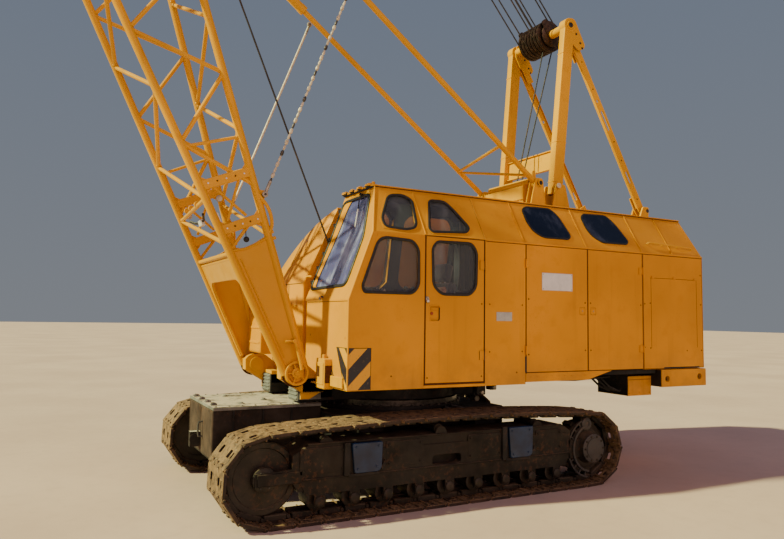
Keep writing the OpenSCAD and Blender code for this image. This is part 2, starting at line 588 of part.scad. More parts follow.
module backstop_sleeves() stop_frame() color(amber) both() {
    translate([0, stop_y, 3690]) difference() {
        cylinder(h = stop_len - 3690 - 330, r = 65, $fn = 32);
        translate([0, 0, -1]) cylinder(h = stop_len - 3690 - 369, r = 54, $fn = 32);
    }
    // eye plate outside the lug of the boom
    xz(578, 610) polygon([[-40, stop_len - 350], [40, stop_len - 350], [40, stop_len], [-40, stop_len]]);
    ycyl(0, stop_len, 62, 578, 610, 32);
}
// Rods from the boom to the backstops
rod_s = 1900; rod_t = hd(1900) + 78;
rod_x = bx(rod_s, -rod_t); rod_z = bz(rod_s, -rod_t);
rod_tx = stop_x - 3530*cos(stop_deg); rod_tz = stop_z + 3530*sin(stop_deg);
module hanger_rods() place() line_frame(rod_x, rod_z, atan2(rod_tz - rod_z, rod_x - rod_tx)) color(steel) both() {
    rl = norm([rod_tx - rod_x, rod_tz - rod_z]);
    translate([0, 735, 0]) cylinder(h = rl, r = 15, $fn = 24);
    ycyl(0, 0, 33, 717, 753, 24);
    ycyl(0, rl, 34, 717, 753, 24);
}

// ---- luffing ropes ----
pend_x = bx(pend_s, -pend_t); pend_z = bz(pend_s, -pend_t);
line_len = norm([pend_x - gantry_x, pend_z - gantry_z]);
line_deg = atan2(pend_z - gantry_z, gantry_x - pend_x);
bridle_s = 5200;                      // bridle from the gantry axle at rest
module luff_frame() place() line_frame(gantry_x, gantry_z, line_deg) children();
module rope_guard() luff_frame() color(amber) {
    difference() {
        for (y = [-272, 258]) xz(y, y + 14) polygon([[-110, -90], [110, -90], [60, 420], [-60, 420]]);
        ycyl(0, 0, 63, -280, 280);
    }
    both() ycyl(0, 360, 16, 0, 265, 16);
}
module bridle_pendants() luff_frame() color(amber) {
    // bridle block
    for (y = [-300, -20, 260]) xz(y, y + 40) polygon([[-120, bridle_s - 140], [120, bridle_s - 140], [150, bridle_s], [90, bridle_s + 240], [-90, bridle_s + 240], [-150, bridle_s]]);
    for (y = [-220, -140, 110, 190]) ycyl(0, bridle_s, 200, y - 14, y + 14);
    ycyl(0, bridle_s, 45, -300, 300);
    ycyl(0, bridle_s + 190, 40, -430, 430);
    // pendants to the boom head
    both() {
        translate([0, 405, bridle_s + 190]) cylinder(h = line_len - bridle_s - 190, r = 17, $fn = 24);
        ycyl(0, bridle_s + 190, 62, 385, 425, 32);
        ycyl(0, line_len, 62, 385, 425, 32);
        translate([0, 405, line_len - 520]) cylinder(h = 480, r = 28, $fn = 24);
        translate([0, 405, bridle_s + 220]) cylinder(h = 400, r = 28, $fn = 24);
    }
}

// ---- hoist rope ----
lead_x = -985; lead_z = 2955;
guide_x = bx(guide_s, -guide_t - guide_r - 30); guide_z = bz(guide_s, -guide_t - guide_r - 30);
lead_len = norm([guide_x - lead_x, guide_z - lead_z]);
lead_deg = atan2(guide_z - lead_z, lead_x - guide_x);
module rope_frame() place() line_frame(lead_x, lead_z, lead_deg) translate([0, rope_y, 0]) children();
module rope_fairlead() rope_frame() color(steel) {
    // two rollers in a small cage, with the first length of rope
    for (x = [-46, 46]) ycyl(x, 0, 34, -45, 45, 32);
    for (y = [-54, 42]) xz(y, y + 12) polygon([[-86, -40], [86, -40], [86, 40], [-86, 40]]);
    // trunnions on which the cage tilts
    for (y = [-84, 48]) ycyl(0, 0, 20, y, y + 36, 24);
    translate([0, 0, -700]) cylinder(h = 2460, r = 10.5, $fn = 24);
}
module hoist_rope_run() rope_frame() color(steel) translate([0, 0, 2000]) cylinder(h = lead_len - 2200, r = 10.5, $fn = 24);

// ---- hook ----
hook_x = bx(boom_len, 0) - head_r + 2; hook_z = bz(boom_len, 0) - hook_drop;
module hoist_falls() place() color(steel) for (y = [-200, 200])
    translate([hook_x, y, hook_z - 160]) cylinder(h = hook_drop + 160 - 95, r = 10.5, $fn = 24);
module hook_block() place() color(amber) translate([hook_x, 0, hook_z]) {
    for (x = [-70, 46]) yz(x, x + 24) polygon([[-170, 120], [170, 120], [240, -40], [200, -420], [110, -620], [-110, -620], [-200, -420], [-240, -40]]);
    translate([-30, 0, -160]) rotate([0, 90, 0]) cylinder(h = 60, r = 189, $fn = 64);
    translate([-76, 0, -160]) rotate([0, 90, 0]) cylinder(h = 152, r = 45, $fn = 48);
    box([-70, -120, -640], [70, 120, -560]);
}
module swivel_hook() place() color(steel) translate([hook_x, 0, hook_z - 645]) {
    cylinder(h = 5, r = 60, $fn = 48);
    translate([0, 0, -150]) cylinder(h = 152, r = 42, $fn = 48);
    // bowl of the hook
    translate([0, 0, -325]) rotate([90, 0, 0]) rotate([0, 0, -215]) rotate_extrude(angle = 300, $fn = 64) translate([125, 0]) circle(40, $fn = 24);
    translate([0, 0, -200]) cylinder(h = 60, r1 = 38, r2 = 62, $fn = 48);
}

carbody();
front_box();
track_frame_left();
track_frame_right();
track_left();
track_right();
drive_sprockets();
front_idlers();
bottom_rollers();
carrier_rollers();
travel_drives();
slew_ring();
revolving_frame();
house_body();
front_hood();
cab_shell();
operator_seat();
cab_controls();
engine_block();
counterweight();
valve_box();
roof_brackets();
gantry_front_frame();
gantry_rear_struts();
gantry_sheaves();
cab_door();
left_front_service_door();
left_rear_service_door();
right_front_service_door();
right_rear_service_door();
boom_foot_section();
boom_middle_section();
boom_head_section();
head_sheaves();
backstop_tubes();
backstop_middle_stages();
backstop_sleeves();
hanger_rods();
rope_guard();
bridle_pendants();
rope_fairlead();
hoist_rope_run();
hoist_falls();
hook_block();
swivel_hook();
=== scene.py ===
import bpy
import json
import math
from mathutils import Matrix, Vector, noise
from mathutils.geometry import tessellate_polygon


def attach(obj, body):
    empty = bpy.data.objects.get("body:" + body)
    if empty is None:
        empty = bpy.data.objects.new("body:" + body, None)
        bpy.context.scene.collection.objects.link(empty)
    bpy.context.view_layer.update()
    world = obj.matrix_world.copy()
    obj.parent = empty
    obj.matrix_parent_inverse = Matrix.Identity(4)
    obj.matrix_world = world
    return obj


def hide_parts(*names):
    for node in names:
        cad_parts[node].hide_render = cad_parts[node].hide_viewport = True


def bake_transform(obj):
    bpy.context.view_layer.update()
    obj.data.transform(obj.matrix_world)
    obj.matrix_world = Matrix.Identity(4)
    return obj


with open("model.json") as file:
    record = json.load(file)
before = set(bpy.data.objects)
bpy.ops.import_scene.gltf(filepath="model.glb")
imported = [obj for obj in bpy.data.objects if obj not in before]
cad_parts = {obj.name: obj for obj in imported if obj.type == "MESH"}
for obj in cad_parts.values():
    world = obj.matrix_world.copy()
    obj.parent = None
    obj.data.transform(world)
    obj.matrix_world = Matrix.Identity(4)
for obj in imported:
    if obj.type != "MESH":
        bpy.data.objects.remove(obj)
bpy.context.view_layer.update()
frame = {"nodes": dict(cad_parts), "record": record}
NODES = frame["nodes"]
PI = math.pi

# Everything below is written in metres about the slewing axis, with the boom
# towards -X and the cab towards -Y, and then moved by SX into the crane's frame.
SX = 2.0004482666


# ---------------------------------------------------------------- camera
def make_camera():
    yaw, tilt, roll = math.radians(27.937), math.radians(4.515), math.radians(0.920)
    fwd = Vector((math.sin(yaw) * math.cos(tilt), math.cos(yaw) * math.cos(tilt), math.sin(tilt)))
    right = Vector((math.cos(yaw), -math.sin(yaw), 0))
    up = right.cross(fwd)
    r2 = right * math.cos(roll) + up * math.sin(roll)
    u2 = -right * math.sin(roll) + up * math.cos(roll)
    cam = bpy.data.objects.new("camera", bpy.data.cameras.new("camera"))
    bpy.context.scene.collection.objects.link(cam)
    m = Matrix((r2, u2, -fwd)).transposed().to_4x4()
    m.translation = Vector((-3.986 + SX, -7.617, 1.968))
    cam.matrix_world = m
    cam.data.sensor_width = 36
    cam.data.lens = 30.72
    cam.data.shift_x = 0.0013
    cam.data.shift_y = -0.0070
    cam.data.clip_start, cam.data.clip_end = 0.05, 400
    bpy.context.scene.camera = cam


make_camera()


# ---------------------------------------------------------------- materials
class Look:
    """A small builder of node materials."""

    def __init__(self, name):
        self.m = bpy.data.materials.new(name)
        self.m.use_nodes = True
        self.t = self.m.node_tree
        self.t.nodes.clear()
        self.out = self.t.nodes.new("ShaderNodeOutputMaterial")
        self.bsdf = self.t.nodes.new("ShaderNodeBsdfPrincipled")
        self.t.links.new(self.bsdf.outputs[0], self.out.inputs[0])
        self.tc = self.t.nodes.new("ShaderNodeTexCoord")

    def link(self, a, b):
        if isinstance(a, (int, float)):
            b.default_value = a
        elif isinstance(a, tuple):
            b.default_value = a if len(a) == 4 else (*a, 1)
        else:
            self.t.links.new(a, b)

    def coord(self, scale=(1, 1, 1), rot=(0, 0, 0)):
        n = self.t.nodes.new("ShaderNodeMapping")
        n.inputs["Scale"].default_value = scale
        n.inputs["Rotation"].default_value = rot
        self.t.links.new(self.tc.outputs["Object"], n.inputs["Vector"])
        return n.outputs[0]

    def noise(self, scale, detail=4, rough=0.55, coord=None, distort=0.0):
        n = self.t.nodes.new("ShaderNodeTexNoise")
        n.inputs["Scale"].default_value = scale
        n.inputs["Detail"].default_value = detail
        n.inputs["Roughness"].default_value = rough
        n.inputs["Distortion"].default_value = distort
        self.t.links.new(coord or self.tc.outputs["Object"], n.inputs["Vector"])
        return n.outputs["Fac"]

    def cells(self, scale, coord=None):
        n = self.t.nodes.new("ShaderNodeTexVoronoi")
        n.inputs["Scale"].default_value = scale
        self.t.links.new(coord or self.tc.outputs["Object"], n.inputs["Vector"])
        return n.outputs["Distance"]

    def math(self, op, a, b=0.0, clamp=False):
        n = self.t.nodes.new("ShaderNodeMath")
        n.operation = op
        n.use_clamp = clamp
        self.link(a, n.inputs[0])
        self.link(b, n.inputs[1])
        return n.outputs[0]

    def span(self, v, lo, hi, a=0.0, b=1.0):
        n = self.t.nodes.new("ShaderNodeMapRange")
        n.interpolation_type = "SMOOTHSTEP"
        self.link(v, n.inputs["Value"])
        n.inputs["From Min"].default_value = lo
        n.inputs["From Max"].default_value = hi
        n.inputs["To Min"].default_value = a
        n.inputs["To Max"].default_value = b
        return n.outputs[0]

    def mix(self, f, a, b, mode="MIX"):
        n = self.t.nodes.new("ShaderNodeMix")
        n.data_type = "RGBA"
        n.blend_type = mode
        self.link(f, n.inputs[0])
        self.link(a, n.inputs[6])
        self.link(b, n.inputs[7])
        return n.outputs[2]

    def axis(self, which, of="Object"):
        n = self.t.nodes.new("ShaderNodeSeparateXYZ")
        self.t.links.new(self.tc.outputs[of], n.inputs[0])
        return n.outputs[which]

    def bump(self, h, strength, distance, normal=None):
        n = self.t.nodes.new("ShaderNodeBump")
        n.inputs["Strength"].default_value = strength
        n.inputs["Distance"].default_value = distance
        self.t.links.new(h, n.inputs["Height"])
        if normal is not None:
            self.t.links.new(normal, n.inputs["Normal"])
        return n.outputs[0]

    def set(self, **kw):
        names = {"color": "Base Color", "rough": "Roughness", "metal": "Metallic", "normal": "Normal", "coat": "Coat Weight",
                 "coat_rough": "Coat Roughness", "spec": "Specular IOR Level", "trans": "Transmission Weight", "ior": "IOR", "alpha": "Alpha",
                 "sheen": "Sheen Weight"}
        for k, v in kw.items():
            self.link(v, self.bsdf.inputs[names[k]])
        return self.m


def paint(name, base, rough=0.40, dents=0.5, dirt=0.35, rust=0.30, dust=0.35, low=None, lining=None, fade=0.12):
    """Sheet metal or tube under weathered paint: tone drifts over a metre, rain streaks run down,
    chips go to rust, dust lies on what faces up, and grime gathers below height low."""
    k = Look(name)
    c = tuple(base)
    paler = tuple(min(1, x * (1 + fade) + 0.002) for x in c)
    deeper = tuple(x * (1 - fade * 1.3) for x in c)
    big = k.noise(0.55, 3, 0.5)
    col = k.mix(k.span(big, 0.32, 0.68), deeper, paler)
    mottled = k.noise(5.5, 5, 0.6)
    col = k.mix(k.math("MULTIPLY", k.span(mottled, 0.50, 0.75), 0.35), col, tuple(x * y for x, y in zip(c, (0.80, 0.72, 0.65))))
    # rain streaks
    run = k.noise(1.0, 4, 0.6, k.coord((9, 9, 0.35)))
    spread = k.noise(0.9, 3, 0.5)
    streak = k.math("MULTIPLY", k.span(run, 0.52, 0.72), k.span(spread, 0.42, 0.66))
    col = k.mix(k.math("MULTIPLY", streak, dirt), col, tuple(x * y for x, y in zip(c, (0.55, 0.48, 0.55))))
    # chips and rust spots
    fine = k.noise(46, 6, 0.65)
    where = k.noise(2.1, 4, 0.6)
    chip = k.math("MULTIPLY", k.span(fine, 0.625, 0.665), k.span(where, 0.48, 0.62))
    chip = k.math("MULTIPLY", chip, rust, True)
    col = k.mix(chip, col, (0.115, 0.038, 0.014))
    halo = k.math("MULTIPLY", k.math("MULTIPLY", k.span(fine, 0.55, 0.66), k.span(where, 0.50, 0.64)), rust * 0.55)
    col = k.mix(halo, col, (0.36, 0.13, 0.02))
    # dust on top faces
    up = k.span(k.axis(2, "Normal"), 0.45, 0.95)
    dusty = k.math("MULTIPLY", k.math("MULTIPLY", up, k.span(k.noise(3.2, 5, 0.6), 0.25, 0.7)), dust)
    col = k.mix(dusty, col, (0.52, 0.36, 0.16))
    if low is not None:
        z = k.axis(2)
        grime = k.math("MULTIPLY", k.span(z, low + 0.45, low, 0, 1), k.span(k.noise(2.6, 5, 0.62), 0.28, 0.72))
        col = k.mix(k.math("MULTIPLY", grime, 0.45), col, (0.20, 0.115, 0.035))
    r = k.span(mottled, 0.3, 0.75, rough - 0.06, rough + 0.14)
    r = k.math("ADD", r, k.math("MULTIPLY", k.math("ADD", chip, dusty), 0.35), True)
    # lining of the cab's inside: faces that turn inwards get a dark cloth colour, a lining that is also painted shade
    # of the cab's inside
    if lining is not None:
        sub = k.t.nodes.new("ShaderNodeVectorMath"); sub.operation = "SUBTRACT"
        k.t.links.new(k.tc.outputs["Object"], sub.inputs[0])
        sub.inputs[1].default_value = lining
        dot = k.t.nodes.new("ShaderNodeVectorMath"); dot.operation = "DOT_PRODUCT"
        k.t.links.new(sub.outputs[0], dot.inputs[0])
        k.t.links.new(k.tc.outputs["Normal"], dot.inputs[1])
        inner = k.span(dot.outputs["Value"], -0.02, -0.12, 0, 1)
        lining_and_inner_shade = k.mix(k.span(k.noise(60, 3), 0.3, 0.7), (0.012, 0.017, 0.035), (0.030, 0.040, 0.070))
        col = k.mix(inner, col, lining_and_inner_shade)
        r = k.math("MAXIMUM", r, k.math("MULTIPLY", inner, 0.7))
    n = k.bump(k.noise(1.15, 2, 0.45), 0.30 * dents, 0.05)
    n = k.bump(k.noise(0.45, 1, 0.4, k.coord((1, 1, 0.6))), 0.35 * dents, 0.12, n)
    n = k.bump(k.noise(90, 3), 0.012, 0.002, n)
    n = k.bump(k.math("SUBTRACT", 1.0, chip), 0.12, 0.002, n)
    return k.set(color=col, rough=r, normal=n, spec=0.22)


def dark_metal(name, base=(0.018, 0.018, 0.020), dust_col=(0.30, 0.225, 0.15), dust=0.75, side=0.18, rust=0.25, rough=0.55):
    """Black or greasy steel with dust on what faces up and a haze of it on the sides."""
    k = Look(name)
    col = k.mix(k.span(k.noise(3.0, 5, 0.6), 0.3, 0.7), tuple(x * 0.6 for x in base), tuple(min(1, x * 1.9 + 0.004) for x in base))
    col = k.mix(k.math("MULTIPLY", k.span(k.noise(1.3, 5, 0.65), 0.40, 0.70), side), col, tuple(x * 0.55 for x in dust_col))
    rusty = k.math("MULTIPLY", k.math("MULTIPLY", k.span(k.noise(24, 6, 0.65), 0.52, 0.62), k.span(k.noise(1.8, 4), 0.45, 0.62)), rust)
    col = k.mix(rusty, col, (0.13, 0.050, 0.020))
    up = k.span(k.axis(2, "Normal"), 0.35, 0.92)
    fluff = k.span(k.noise(5.5, 6, 0.65), 0.30, 0.62)
    d = k.math("MULTIPLY", k.math("MULTIPLY", up, fluff), dust, True)
    col = k.mix(d, col, dust_col)
    r = k.span(k.noise(9, 4, 0.6), 0.3, 0.7, rough - 0.12, rough + 0.15)
    r = k.math("ADD", r, k.math("MULTIPLY", d, 0.4), True)
    n = k.bump(k.noise(14, 5, 0.6), 0.22, 0.006)
    n = k.bump(k.noise(150, 3), 0.10, 0.0015, n)
    return k.set(color=col, rough=r, normal=n, spec=0.22)


def mud_steel(name):
    """Track shoes: dark rolled steel with brown rust, pale dry mud and bright worn steel on what faces up, and the same
    pale colours on faces turned towards the key light as painted light.
    """
    k = Look(name)
    col = k.mix(k.span(k.noise(7, 6, 0.65), 0.30, 0.70), (0.010, 0.0065, 0.0055), (0.036, 0.021, 0.015))
    patch = k.span(k.noise(2.4, 5, 0.6), 0.42, 0.64)
    col = k.mix(k.math("MULTIPLY", patch, 0.55), col, (0.062, 0.033, 0.020))
    up = k.span(k.axis(2, "Normal"), 0.15, 0.85)
    # faces turned towards -X face the key light; giving them the pale mud as well is painted light
    front = k.span(k.axis(0, "Normal"), -0.25, -0.85)
    face = k.math("MAXIMUM", up, front)
    fluff = k.span(k.noise(16, 6, 0.7), 0.30, 0.60)
    far = k.span(k.noise(0.9, 3), 0.25, 0.60, 0.55, 1.0)
    d = k.math("MULTIPLY", k.math("MULTIPLY", face, fluff), far)
    col = k.mix(k.math("MULTIPLY", d, 0.88), col, (0.300, 0.180, 0.090))
    # bright worn steel on what faces up, and on the lit front faces as a painted highlight
    wear_and_lit_side = k.math("MULTIPLY", k.span(k.noise(38, 5, 0.65), 0.58, 0.68), face)
    col = k.mix(k.math("MULTIPLY", wear_and_lit_side, 0.6), col, (0.34, 0.265, 0.20))
    r = k.math("ADD", k.span(k.noise(22, 4), 0.3, 0.7, 0.50, 0.72), k.math("MULTIPLY", d, 0.22), True)
    n = k.bump(k.noise(30, 6, 0.65), 0.40, 0.006)
    n = k.bump(k.cells(55), 0.18, 0.003, n)
    return k.set(color=col, rough=r, normal=n, metal=0.15, spec=0.4)


def plain(name, a, b, rough=0.5, scale=18, metal=0.0, bump=0.06, spec=0.5, coat=0.0, sheen=0.0):
    """Two tones of one stuff with a fine grain."""
    k = Look(name)
    f = k.span(k.noise(scale, 5, 0.6), 0.30, 0.70)
    col = k.mix(f, a, b)
    r = k.span(k.noise(scale * 0.6, 4), 0.3, 0.7, rough - 0.08, rough + 0.10)
    n = k.bump(k.noise(scale * 7, 3), bump, 0.002)
    return k.set(color=col, rough=r, normal=n, metal=metal, spec=spec, coat=coat, sheen=sheen)


def rope_look(name, a=(0.012, 0.012, 0.014), b=(0.055, 0.050, 0.045)):
    """Greased wire rope, with the lay of its strands as a slanting wave."""
    k = Look(name)
    w = k.t.nodes.new("ShaderNodeTexWave")
    w.wave_type = "BANDS"; w.bands_direction = "DIAGONAL"
    w.inputs["Scale"].default_value = 60
    w.inputs["Distortion"].default_value = 0.4
    k.t.links.new(k.tc.outputs["Object"], w.inputs["Vector"])
    col = k.mix(w.outputs["Fac"], a, b)
    col = k.mix(k.math("MULTIPLY", k.span(k.noise(4, 4), 0.5, 0.7), 0.5), col, (0.10, 0.060, 0.035))
    n = k.bump(w.outputs["Fac"], 0.5, 0.003)
    return k.set(color=col, rough=0.48, normal=n, metal=0.35)


def glass_look(name, tint, rough=0.03, dusty=0.10, streak=(0.62, 0.66, 0.72), alpha=0.35, spec=0.9, coat=0.6):
    """Window pane: mostly clear, a tint, and dust with wipe marks in the streak colour; a blue tint and a bluish streak
    colour make them painted sky reflection.
    """
    k = Look(name)
    dust_and_reflection_marks = k.math("MULTIPLY", k.span(k.noise(1.0, 4, 0.6, k.coord((3.0, 3.0, 1.1), (0.4, 0.9, 0.2))), 0.48, 0.70), dusty)
    dust_and_reflection_marks = k.math("ADD", dust_and_reflection_marks, k.math("MULTIPLY", k.span(k.noise(30, 5, 0.7), 0.55, 0.8), dusty * 0.5), True)
    col = k.mix(dust_and_reflection_marks, tint, streak)
    a = k.math("ADD", k.math("MULTIPLY", dust_and_reflection_marks, 0.8), alpha, True)
    r = k.math("ADD", k.math("MULTIPLY", dust_and_reflection_marks, 0.4), rough, True)
    n = k.bump(k.noise(0.8, 2), 0.05, 0.02)
    k.set(color=col, rough=r, normal=n, alpha=a, spec=spec, ior=1.5, coat=coat, coat_rough=0.02)
    return k.m


def stripe_look(name, black=(0.010, 0.011, 0.020), amber=(0.72, 0.26, 0.0), period=0.310, width=0.46, slope=1.0, offset=-0.596):
    """Diagonal warning stripes on a flat plate."""
    k = Look(name)
    v = k.math("SUBTRACT", k.axis(2), k.math("MULTIPLY", k.axis(0), slope))
    v = k.math("SUBTRACT", v, k.axis(1))
    v = k.math("ADD", v, offset)
    f = k.math("FRACT", k.math("DIVIDE", v, period))
    edge = k.span(f, width - 0.02, width + 0.02)
    col = k.mix(edge, amber, black)
    scuff = k.math("MULTIPLY", k.span(k.noise(34, 5, 0.65), 0.60, 0.68), 0.5)
    col = k.mix(scuff, col, (0.20, 0.12, 0.05))
    n = k.bump(k.noise(160, 3), 0.05, 0.001)
    return k.set(color=col, rough=k.span(k.noise(7, 4), 0.3, 0.7, 0.36, 0.52), normal=n)


AMBER = (0.640, 0.272, 0.0)
M = {
    "house": paint("house_paint_look", AMBER, low=1.22, dents=0.55, rust=0.35),
    "cab": paint("cab_paint_look", (0.650, 0.280, 0.0), low=1.22, dents=0.35, rust=0.30, lining=(-0.25 + SX, -0.92, 2.25)),
    "boom": paint("boom_paint_look", (0.68, 0.330, 0.0), dents=0.15, dirt=0.40, rust=0.05, rough=0.36),
    "gantry": paint("gantry_paint_look", (0.68, 0.335, 0.0), dents=0.15, dirt=0.35, rust=0.03, rough=0.38),
    "weight": paint("counterweight_look", (0.62, 0.270, 0.0), low=1.11, dents=0.8, rust=0.55, rough=0.48),
    "black": dark_metal("black_frame_look", base=(0.008, 0.008, 0.009), dust_col=(0.15, 0.11, 0.075), dust=0.6, side=0.12),
    "frame": dark_metal("track_frame_look", base=(0.006, 0.005, 0.0045), dust_col=(0.13, 0.09, 0.06), side=0.16, rust=0.30, dust=0.7),
    "deck": dark_metal("deck_look", base=(0.006, 0.006, 0.008), dust_col=(0.12, 0.09, 0.06), side=0.08, dust=0.30, rust=0.12),
    "box_top": dark_metal("box_top_look", base=(0.016, 0.012, 0.010), dust_col=(0.46, 0.40, 0.34), dust=1.35, side=0.05, rust=0.25, rough=0.7),
    "box_front": dark_metal("box_front_look", base=(0.045, 0.028, 0.021), dust_col=(0.16, 0.11, 0.08), dust=0.9, side=0.4, rust=0.5, rough=0.7),
    "girder": dark_metal("girder_end_look", base=(0.13, 0.13, 0.125), dust_col=(0.30, 0.28, 0.24), dust=0.6, side=0.4, rust=0.30, rough=0.6),
    "track": mud_steel("track_steel_look"),
    "gear": dark_metal("running_gear_look", base=(0.014, 0.012, 0.010), dust_col=(0.17, 0.125, 0.085), side=0.22, rust=0.35, dust=0.5, rough=0.45),
    "hub": dark_metal("hub_look", base=(0.026, 0.026, 0.028), dust_col=(0.15, 0.11, 0.08), side=0.25, rust=0.25, dust=0.5, rough=0.50),
    "grease": plain("greased_steel_look", (0.020, 0.018, 0.016), (0.085, 0.075, 0.068), 0.36, 26, 0.6, 0.10),
    "sheave": plain("sheave_look", (0.020, 0.013, 0.010), (0.085, 0.052, 0.035), 0.45, 22, 0.55, 0.12),
    "rope": rope_look("wire_rope_look"),
    "pale_rod": plain("hanger_rod_look", (0.45, 0.37, 0.27), (0.70, 0.62, 0.50), 0.5, 30, 0.1, 0.10),
    "hook": plain("hook_look", (0.04, 0.036, 0.032), (0.13, 0.115, 0.10), 0.42, 20, 0.7, 0.12),
    "engine": plain("engine_look", (0.030, 0.040, 0.038), (0.080, 0.095, 0.090), 0.5, 9, 0.2, 0.12),
    "rubber": plain("rubber_look", (0.006, 0.006, 0.007), (0.018, 0.018, 0.020), 0.55, 40, 0, 0.08, 0.4),
    "seam": plain("seam_look", (0.055, 0.016, 0.003), (0.10, 0.030, 0.006), 0.75, 30, 0, 0.05, 0.2),
    "liner": plain("cab_liner_look", (0.010, 0.014, 0.028), (0.028, 0.037, 0.065), 0.7, 60, 0, 0.15, 0.3, sheen=0.2),
    "console": plain("console_look", (0.035, 0.036, 0.038), (0.085, 0.085, 0.082), 0.5, 35, 0, 0.10),
    "seat": plain("seat_cover_look", (0.014, 0.018, 0.032), (0.045, 0.052, 0.080), 0.85, 90, 0, 0.35, 0.2, sheen=0.35),
    "blue": plain("blue_panel_look", (0.002, 0.010, 0.040), (0.007, 0.028, 0.090), 0.42, 4.5, 0, 0.08),
    "white": plain("sign_look", (0.60, 0.62, 0.68), (0.74, 0.75, 0.80), 0.35, 6, 0, 0.02),
    "plate": plain("type_plate_look", (0.40, 0.40, 0.42), (0.56, 0.56, 0.58), 0.38, 9, 0.5, 0.03),
    "chrome": plain("bright_steel_look", (0.50, 0.49, 0.47), (0.72, 0.71, 0.70), 0.28, 40, 0.9, 0.04),
    "brass": plain("worn_grey_look", (0.22, 0.20, 0.17), (0.42, 0.39, 0.34), 0.45, 25, 0.5, 0.08),
    "red": plain("lock_red_look", (0.18, 0.018, 0.004), (0.34, 0.045, 0.008), 0.5, 30, 0, 0.05),
    "amber_lens": plain("amber_lens_look", (0.60, 0.16, 0.004), (0.75, 0.26, 0.01), 0.15, 20, 0, 0.03, 0.6, coat=0.5),
    "glass": glass_look("window_glass_look", (0.30, 0.34, 0.40), alpha=0.10, dusty=0.16),
    # windscreen: its blue tint and pale blue streaks are painted sky reflection; the streaks are also dust and wipe
    # marks
    "screen": glass_look("windscreen_look", (0.115, 0.115, 0.34), alpha=0.58, dusty=0.50, streak=(0.66, 0.68, 0.95)),
    # roof windows: opaque navy with blue streaks, painted sky reflection over a painted dark inside
    "dark_glass": glass_look("roof_window_look", (0.002, 0.003, 0.016), alpha=1.0, dusty=0.16, streak=(0.22, 0.26, 0.48), spec=0.35, coat=0.0),
    "stripe_side": stripe_look("warning_stripe_side", amber=(0.68, 0.33, 0.0)),
    "grey_pad": plain("dusty_black_look", (0.03, 0.03, 0.03), (0.09, 0.08, 0.07), 0.7, 12, 0, 0.15),
}
SLOT_LOOK = {
    "black_frame": "black", "dusty_box": "black", "track_steel": "track", "running_gear": "gear", "greased_steel": "grease",
    "house_paint": "house", "cab_paint": "cab", "seat_cover": "seat", "console_plastic": "console", "engine_iron": "engine",
    "counterweight_paint": "weight", "gantry_paint": "gantry", "sheave_steel": "sheave", "boom_paint": "boom", "rope_steel": "rope",
    "hook_steel": "hook",
}
NODE_LOOK = {
    "carbody": "black", "front_box": "box_top", "track_frame_left": "frame", "track_frame_right": "frame", "revolving_frame": "deck",
    "hanger_rods": "pale_rod", "travel_drives": "hub", "slew_ring": "grease", "backstop_middle_stages": "grease",
}
slot_of = {s["node"]: s["material_slot"] for s in frame["record"]["subparts"]}
for name, o in NODES.items():
    look = M[NODE_LOOK.get(name, SLOT_LOOK[slot_of[name]])]
    o.data.materials.clear()
    o.data.materials.append(look)


